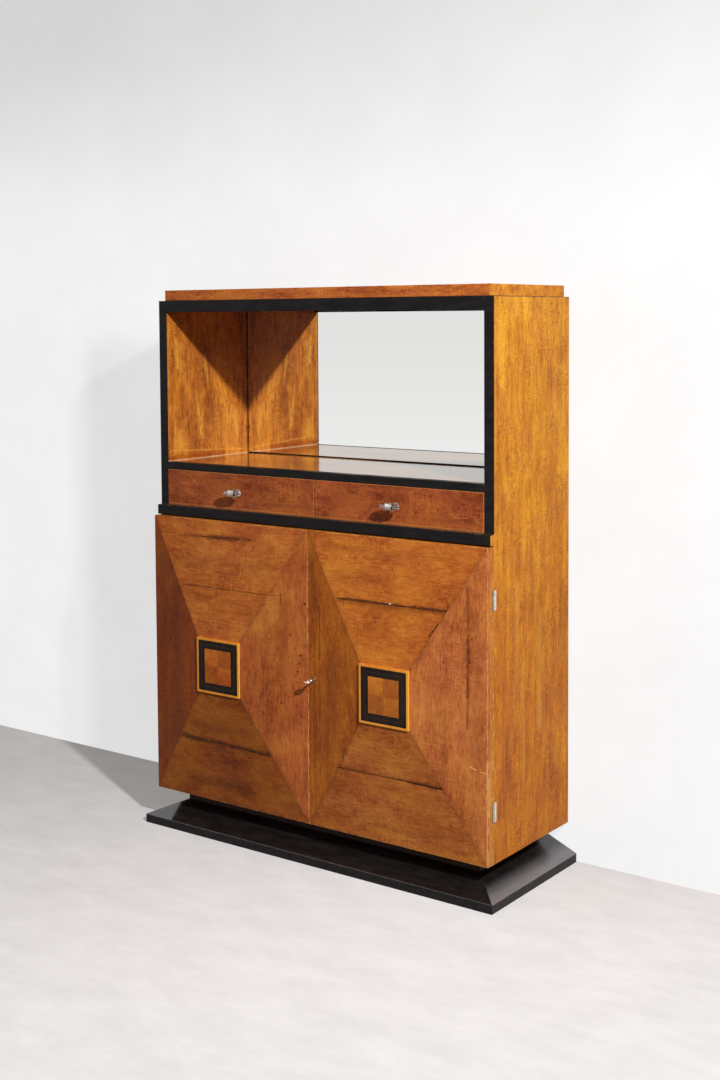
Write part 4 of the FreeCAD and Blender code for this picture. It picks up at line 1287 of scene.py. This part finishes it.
def soften(node, width):
    """Live modifiers that round a carried-over piece's edges."""
    piece = frame["nodes"][node]
    weld = piece.modifiers.new("weld", "WELD")
    weld.merge_threshold = MERGE_DISTANCE
    bevel = piece.modifiers.new("eased edges", "BEVEL")
    bevel.width = width
    bevel.segments = 2
    bevel.limit_method = "ANGLE"
    bevel.angle_limit = math.radians(25)
    return piece


def finish_node(node, material, ease_width=0.6 * MM):
    """Puts a finish on a carried-over piece."""
    painted(soften(node, ease_width) if ease_width else frame["nodes"][node], material)


RUBBED_BLACK = {"level": 0.12, "shade": 0.88, "gloss": (0.35, 0.5)}


def finish_cabinet():
    """Finishes of the fixed cabinet."""
    side_middle = (SIDE_INNER + HALF_WIDTH) / 2
    for side, way in SIDES.items():
        node = f"side_panel_{side}"
        lining = {"kind": "niche", "side": "LESS_THAN" if way > 0 else "GREATER_THAN",
                  "edge": way * side_middle}
        finish_node(node, wood(node + " veneer", "side", shift=(0, 0.3 * way, 0),
                               marks=MARKS[node], wear_box=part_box(node), seen_from="side",
                               lining=lining,
                               deepens=(CARCASS_LOW.z, CABINET_TOP, (0.9, 0.67, 0.38, 1))))
    for node in ("stile_left", "stile_right", "top_rail", "shelf_rail"):
        finish_node(node, lacquer(node + " lacquer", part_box(node), **RUBBED_BLACK))
    # Its pale rubbed edges are wear and also a painted highlight along the band's edges.
    finish_node("waist_band", lacquer(
        "waist band lacquer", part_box("waist_band"), worn=(196, 138, 92), wear_width=0.6 * MM,
        bare_ends=HALF_WIDTH - 0.2 * MM, **RUBBED_BLACK))
    finish_node("plinth_slab", lacquer("slab lacquer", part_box("plinth_slab"), level=0.15,
                                       wear_width=1.8 * MM, worn=(94, 62, 45)), 0.8 * MM)
    for node in ("plinth_front", "plinth_left"):
        finish_node(node, lacquer(node + " lacquer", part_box(node), level=0.8, coat=0.6,
                                  gloss=(0.1, 0.18)), 0.5 * MM)
    plinth_low, plinth_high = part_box("plinth_right")
    slope = plinth_high.x - plinth_low.x
    # The right slope takes a pale grey toward its outer edge: partly dust, partly painted sheen.
    finish_node("plinth_right", lacquer(
        "plinth_right lacquer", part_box("plinth_right"), level=0.5, coat=0.2, gloss=(0.2, 0.3),
        dust_and_sheen=(plinth_low.x + 0.35 * slope, plinth_high.x - 0.15 * slope)), 0.5 * MM)
    finish_node("plinth_neck", wood("neck veneer", "neck", "x"))
    top_end = {"kind": "side", "side": "GREATER_THAN", "edge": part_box("top_panel")[1].x - 1 * MM,
               "shade": (0.96, 0.92, 1.0)}
    finish_node("top_panel", wood("top veneer", "top", "x", wear_box=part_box("top_panel"),
                                  lining=top_end, shade=(1.04, 0.99, 1.06)), None)
    finish_node("niche_floor", wood("niche floor veneer", "niche", "x", gloss=(0.04, 0.08),
                                    level=0.9, coat=0.42, shade=(1.0, 1.1, 1.5)))
    finish_node("niche_ceiling", wood("niche ceiling veneer", "niche", "x"))
    finish_node("mirror_backing", wood("backing board", "plain", "x", gloss=(0.6, 0.7)))
    finish_node("drawer_deck", wood("deck board", "plain", "x", gloss=(0.5, 0.6)))
    finish_node("drawer_divider", wood("divider board", "plain", "y", gloss=(0.5, 0.6)))
    finish_node("cabinet_floor", wood("floor board veneer", "inside", "x"))
    finish_node("lower_shelf", wood("shelf veneer", "inside", "x", shift=(0, 0, 0.4)))


FACET_GRAINS = {"top": "x", "bottom": "x", "left": "z", "right": "z"}
FACET_SHADES = {
    "left_top": (1.0, 0.99, 1.08), "left_bottom": (0.86, 0.82, 0.78),
    "left_left": (0.84, 0.7, 0.48), "left_right": (0.94, 0.91, 1.12),
    "right_top": (1.03, 1.02, 0.98), "right_bottom": (1.03, 1.05, 1.18),
    "right_left": (1.06, 1.03, 0.83), "right_right": (1.0, 1.02, 1.3),
}


SQUARE_SHADES = {
    "left": ((1.14, 1.1, 1.12), (0.7, 0.56, 0.7, 1), (1.1, 1.15, 1.05), (0.84, 0.8, 0.76, 1)),
    "right": ((1.14, 1.18, 1.1), (0.7, 0.68, 0.72, 1), (1.07, 1.13, 1.05), (0.87, 0.86, 0.9, 1)),
}


def mitres(side, facet):
    """The two joint lines of a facet, from the plaque's corners to the door's."""
    low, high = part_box(f"{side}_door_core")
    inner_low, inner_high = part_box(f"{side}_plaque_stringing")
    corners = {"top": ((0, 1), (1, 1)), "bottom": ((0, 0), (1, 0)), "left": ((0, 0), (0, 1)),
               "right": ((1, 0), (1, 1))}[facet]
    lines = []
    for right, top in corners:
        start = ((inner_high if right else inner_low).x / MM, (inner_high if top else inner_low).z / MM)
        end = ((high if right else low).x / MM, (high if top else low).z / MM)
        lines.append(mark(start, end, 0.7, strength=0.35, wander=0.6, breaks=0.8,
                          colour=SMOKE_BROWN))
        lines.append(streak(start, end, 6.0, 0.25, wander=9.0, breaks=0.6))
    return lines


def finish_doors():
    """Finishes of the doors, their facets and their plaques."""
    for side, way in SIDES.items():
        core = f"{side}_door_core"
        low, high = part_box(core)
        rim_box = (Vector((low.x, FACET_RIM, low.z)), high)
        inner_face = {"kind": "inside", "axis": "Y", "side": "GREATER_THAN",
                      "edge": high.y - 1 * MM}
        finish_node(core, wood(core + " veneer", "door", "z", wear_box=rim_box,
                               wear_width=2.2 * MM, worn=(232, 170, 100),
                               shade=(1.04, 1.16, 0.95), lining=inner_face))
        for number, (name, grain) in enumerate(FACET_GRAINS.items()):
            node = f"{side}_door_facet_{name}"
            shift = (0.13 * number, 0.2 * way, 0.37 * number)
            finish_node(node, wood(node + " veneer", "door", grain, shift=shift,
                                   marks=MARKS[node] + mitres(side, name), wear_box=rim_box,
                                   wear_width=1.3 * MM, worn=(236, 172, 100),
                                   shade=FACET_SHADES[f"{side}_{name}"]), 0.25 * MM)
        finish_node(f"{side}_plaque_stringing",
                    wood(side + " stringing", "boxwood", "z", marks=strip_lines(side)), 0.3 * MM)
        finish_node(f"{side}_plaque_band",
                    wood(side + " band", "ebonised", "z", marks=plaque_lines(side)), 0.1 * MM)
        heights = [corner.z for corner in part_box(f"{side}_plaque_light_squares")]
        light_shade, light_deep, dark_shade, dark_deep = SQUARE_SHADES[side]
        finish_node(f"{side}_plaque_light_squares", wood(
            side + " light squares", "light square", "x", shade=light_shade,
            deepens=(*heights, light_deep)), 0.05 * MM)
        finish_node(f"{side}_plaque_dark_squares", wood(
            side + " dark squares", "dark square", "z", shade=dark_shade,
            deepens=(*heights, dark_deep)), 0.05 * MM)


DRAWER_SHADES = {"left": (0.98, 0.98, 1.0), "right": (0.98, 0.96, 0.98)}


def finish_drawers():
    """Finishes of the drawers."""
    for side, way in SIDES.items():
        node = f"{side}_drawer_front"
        finish_node(node, wood(node + " veneer", "drawer", "x", shift=(0, 0, 0.2 * way),
                               marks=MARKS[node], wear_box=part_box(node), wear_width=1.2 * MM,
                               worn=(222, 140, 78), shade=DRAWER_SHADES[side]))
        box = wood(side + " drawer box", "plain", "y", gloss=BARE_GLOSS)
        finish_node(f"{side}_drawer_box", box)
        finish_node(f"{side}_drawer_bottom", box)


def finish_metal(metal):
    """Finishes of the metal that the carried-over pieces show."""
    for node in ("lock_case", "lock_bolt", "lock_strike", "left_door_bolt"):
        finish_node(node, metal, 0.2 * MM)


# Studio

def seen_directly(tree, path):
    """1 where the camera sees the room, straight or by way of metal and glass."""
    seen = calc(tree, "MAXIMUM", path["Is Camera Ray"],
                calc(tree, "MAXIMUM", path["Is Glossy Ray"], path["Is Transmission Ray"]))
    return calc(tree, "MULTIPLY", seen, calc(tree, "LESS_THAN", path["Diffuse Depth"], 0.5))


def studio_paint(name, colour, shaded, glow, glow_share, one_sided=False):
    """Matt paint that the camera sees partly as plain light, so that it stays pale.

    Shaded is its colour for the light that it throws back on the cabinet. Glow gives the
    plain light and the tint of the paint at each place, both with painted light and shade in them.
    """
    material = bpy.data.materials.new(name)
    tree = cleared(material)
    place = tree.nodes.new("ShaderNodeTexCoord").outputs["Object"]
    cloudy = between(tree, noise(tree, place, 3.5, 8.0, 0.66), 0.3, 0.7, 0.955, 1.0)
    light, fade = glow(tree, place)
    pale = add(tree, "ShaderNodeBsdfDiffuse",
               {"Color": tint(tree, 1.0, colour, fade, "MULTIPLY")}).outputs[0]
    dim = add(tree, "ShaderNodeBsdfDiffuse", {"Color": shaded}).outputs[0]
    glowing = add(tree, "ShaderNodeEmission",
                  {"Color": tint(tree, 1.0, light, cloudy, "MULTIPLY"),
                   "Strength": 1.0}).outputs[0]
    seen = seen_directly(tree, tree.nodes.new("ShaderNodeLightPath").outputs)
    bright = add(tree, "ShaderNodeMixShader", {0: glow_share, 1: pale, 2: glowing}).outputs[0]
    shader = add(tree, "ShaderNodeMixShader", {0: seen, 1: dim, 2: bright}).outputs[0]
    if one_sided:
        behind = tree.nodes.new("ShaderNodeNewGeometry").outputs["Backfacing"]
        clear = tree.nodes.new("ShaderNodeBsdfTransparent").outputs[0]
        shader = add(tree, "ShaderNodeMixShader", {0: behind, 1: shader, 2: clear}).outputs[0]
    show(tree, shader)
    return material


STUDIO_HALF = 5.5
FLOOR_DROP = 0.3 * MM
WALL_GAP = 2.2 * MM


def build_stage():
    """A pale floor and a pale wall close behind the cabinet, open behind its back."""
    wall_y = cad_box[1].y + WALL_GAP
    deselect()
    bpy.ops.mesh.primitive_plane_add(size=2 * STUDIO_HALF, location=(0, 0, -FLOOR_DROP))
    floor = settle("studio_floor")

    def floor_glow(tree, place):
        # Painted pool of light: the glow brightens toward the lamp's side of the floor, and fade
        # darkens the lit paint nearer the lamp.
        toward_lamp = along(tree, "DOT_PRODUCT", place, (0.6, -0.8, 0))
        level = tint(tree, between(tree, toward_lamp, -0.9, 0.9), paint(198, 192, 190),
                     paint(238, 233, 232))
        near_lamp = along(tree, "DOT_PRODUCT", place, (0.92, -0.38, 0))
        fade = tint(tree, between(tree, near_lamp, 0.45, 1.5, kind="LINEAR"), (1, 1, 1, 1),
                    (0.79, 0.79, 0.79, 1))
        smudges = between(tree, noise(tree, mapped(tree, place, (0.7, 1.4, 1)), 9.0, 8.0, 0.72),
                          0.3, 0.7, 0.93, 1.07, "LINEAR")
        return (tint(tree, 1.0, level, smudges, "MULTIPLY"),
                tint(tree, 1.0, fade, smudges, "MULTIPLY"))

    floor.data.materials.append(studio_paint(
        "studio floor", paint(246, 243, 242), paint(112, 108, 104), floor_glow, 0.33))
    outer = Vector((STUDIO_HALF, 0, STUDIO_HALF))
    opening = Vector((HALF_WIDTH - 2 * MM, 0, CABINET_TOP - 30 * MM))
    panels = []
    for name, low, high in (
            ("left", (-outer.x, 0), (-opening.x, outer.z)),
            ("right", (opening.x, 0), (outer.x, outer.z)),
            ("above", (-opening.x, opening.z), (opening.x, outer.z)),
            ("below", (-opening.x, 0), (opening.x, CARCASS_LOW.z + 2 * MM))):
        deselect()
        middle = ((low[0] + high[0]) / 2, wall_y, (low[1] + high[1]) / 2)
        bpy.ops.mesh.primitive_plane_add(size=1, location=middle, rotation=(math.pi / 2, 0, 0))
        bpy.ops.transform.resize(value=(high[0] - low[0], 1, high[1] - low[1]))
        panels.append(settle("wall_" + name))
    wall = join("studio_wall", panels)

    def wall_glow(tree, place):
        across, up = part_of(tree, place, "X"), part_of(tree, place, "Z")
        # Painted shadow: the glow dims in a zone left of the cabinet, below about 1.2 m, where the
        # cabinet's shadow falls on the wall.
        painted_shadow_zone = calc(tree, "MULTIPLY", between(tree, across, -1.2, -1.08),
                      between(tree, across, -0.1, 0.3, 1.0, 0.0))
        painted_shadow_zone = calc(tree, "MULTIPLY", painted_shadow_zone, between(tree, up, 1.18, 1.3, 1.0, 0.0))
        level = tint(tree, painted_shadow_zone, paint(255, 255, 255), paint(242, 242, 243))
        # Painted falloff of light: higher up, the glow darkens toward the left, away from the lamp, and
        # fade darkens the lit paint.
        painted_falloff = tint(tree, between(tree, across, -1.4, 0.8), paint(226, 225, 225),
                     paint(236, 235, 234))
        high = between(tree, up, 1.5, 2.2)
        fade = tint(tree, high, (1, 1, 1, 1), (0.75, 0.75, 0.75, 1))
        return tint(tree, high, level, painted_falloff), fade

    wall.data.materials.append(studio_paint(
        "studio wall", (1, 1, 1, 1), paint(112, 112, 112), wall_glow, 0.8,
        one_sided=True))


SOFT_LIGHT = 0.36


def build_world():
    """Even soft light, and a pale room in reflections."""
    world = bpy.data.worlds.new("studio")
    bpy.context.scene.world = world
    tree = cleared(world)
    seen = seen_directly(tree, tree.nodes.new("ShaderNodeLightPath").outputs)
    upward = part_of(tree, tree.nodes.new("ShaderNodeTexCoord").outputs["Generated"], "Z")
    ceiling = tint(tree, between(tree, upward, -0.05, 0.35), (0.1, 0.1, 0.1, 1), (1, 1, 1, 1))
    soft = add(tree, "ShaderNodeBackground", {"Color": ceiling, "Strength": SOFT_LIGHT})
    walls = tint(tree, between(tree, upward, -0.1, -0.01, kind="LINEAR"), paint(241, 241, 240),
                 paint(230, 230, 229))
    room = add(tree, "ShaderNodeBackground", {"Color": walls, "Strength": 1.0})
    mixed = add(tree, "ShaderNodeMixShader", {0: seen, 1: soft.outputs[0], 2: room.outputs[0]})
    show(tree, mixed.outputs[0], "ShaderNodeOutputWorld")


LAMP_PLACE = Vector((3.1, -1.9, 2.82))
LAMP_TARGET = Vector((0, -0.1, 0.8))
LAMP_SIZE = 0.18
LAMP_POWER = 170


def build_lamp():
    """One lamp from the right, in front and above."""
    lamp = bpy.data.lights.new("key lamp", "AREA")
    lamp.shape = "DISK"
    lamp.size = LAMP_SIZE
    lamp.energy = LAMP_POWER
    holder = bpy.data.objects.new("key lamp", lamp)
    holder.location = LAMP_PLACE
    holder.rotation_euler = (LAMP_PLACE - LAMP_TARGET).to_track_quat("Z", "Y").to_euler()
    bpy.context.scene.collection.objects.link(holder)


CAMERA_PLACE = (2.1722, -2.91875, 1.3042)
CAMERA_YAW, CAMERA_PITCH, CAMERA_ROLL = 0.6328, -0.0594, 0.0062
CAMERA_LENS = 49.40
CAMERA_SHIFT = -0.1231


def build_camera():
    """The photograph's viewpoint, found from the cabinet's edges."""
    camera = bpy.data.cameras.new("camera")
    camera.lens = CAMERA_LENS
    camera.sensor_width = 36.0
    camera.shift_y = CAMERA_SHIFT
    holder = bpy.data.objects.new("camera", camera)
    holder.location = CAMERA_PLACE
    forward = Vector((-math.sin(CAMERA_YAW) * math.cos(CAMERA_PITCH),
                      math.cos(CAMERA_YAW) * math.cos(CAMERA_PITCH), math.sin(CAMERA_PITCH)))
    turn = forward.to_track_quat("-Z", "Y")
    holder.rotation_mode = "QUATERNION"
    holder.rotation_quaternion = Quaternion(forward, CAMERA_ROLL) @ turn
    bpy.context.scene.collection.objects.link(holder)
    bpy.context.scene.camera = holder
    bpy.context.scene.view_settings.view_transform = "Standard"


metal = nickel()
finish_cabinet()
finish_doors()
finish_drawers()
finish_metal(metal)
build_fittings(metal, clear_glass())
build_stage()
build_world()
build_lamp()
build_camera()
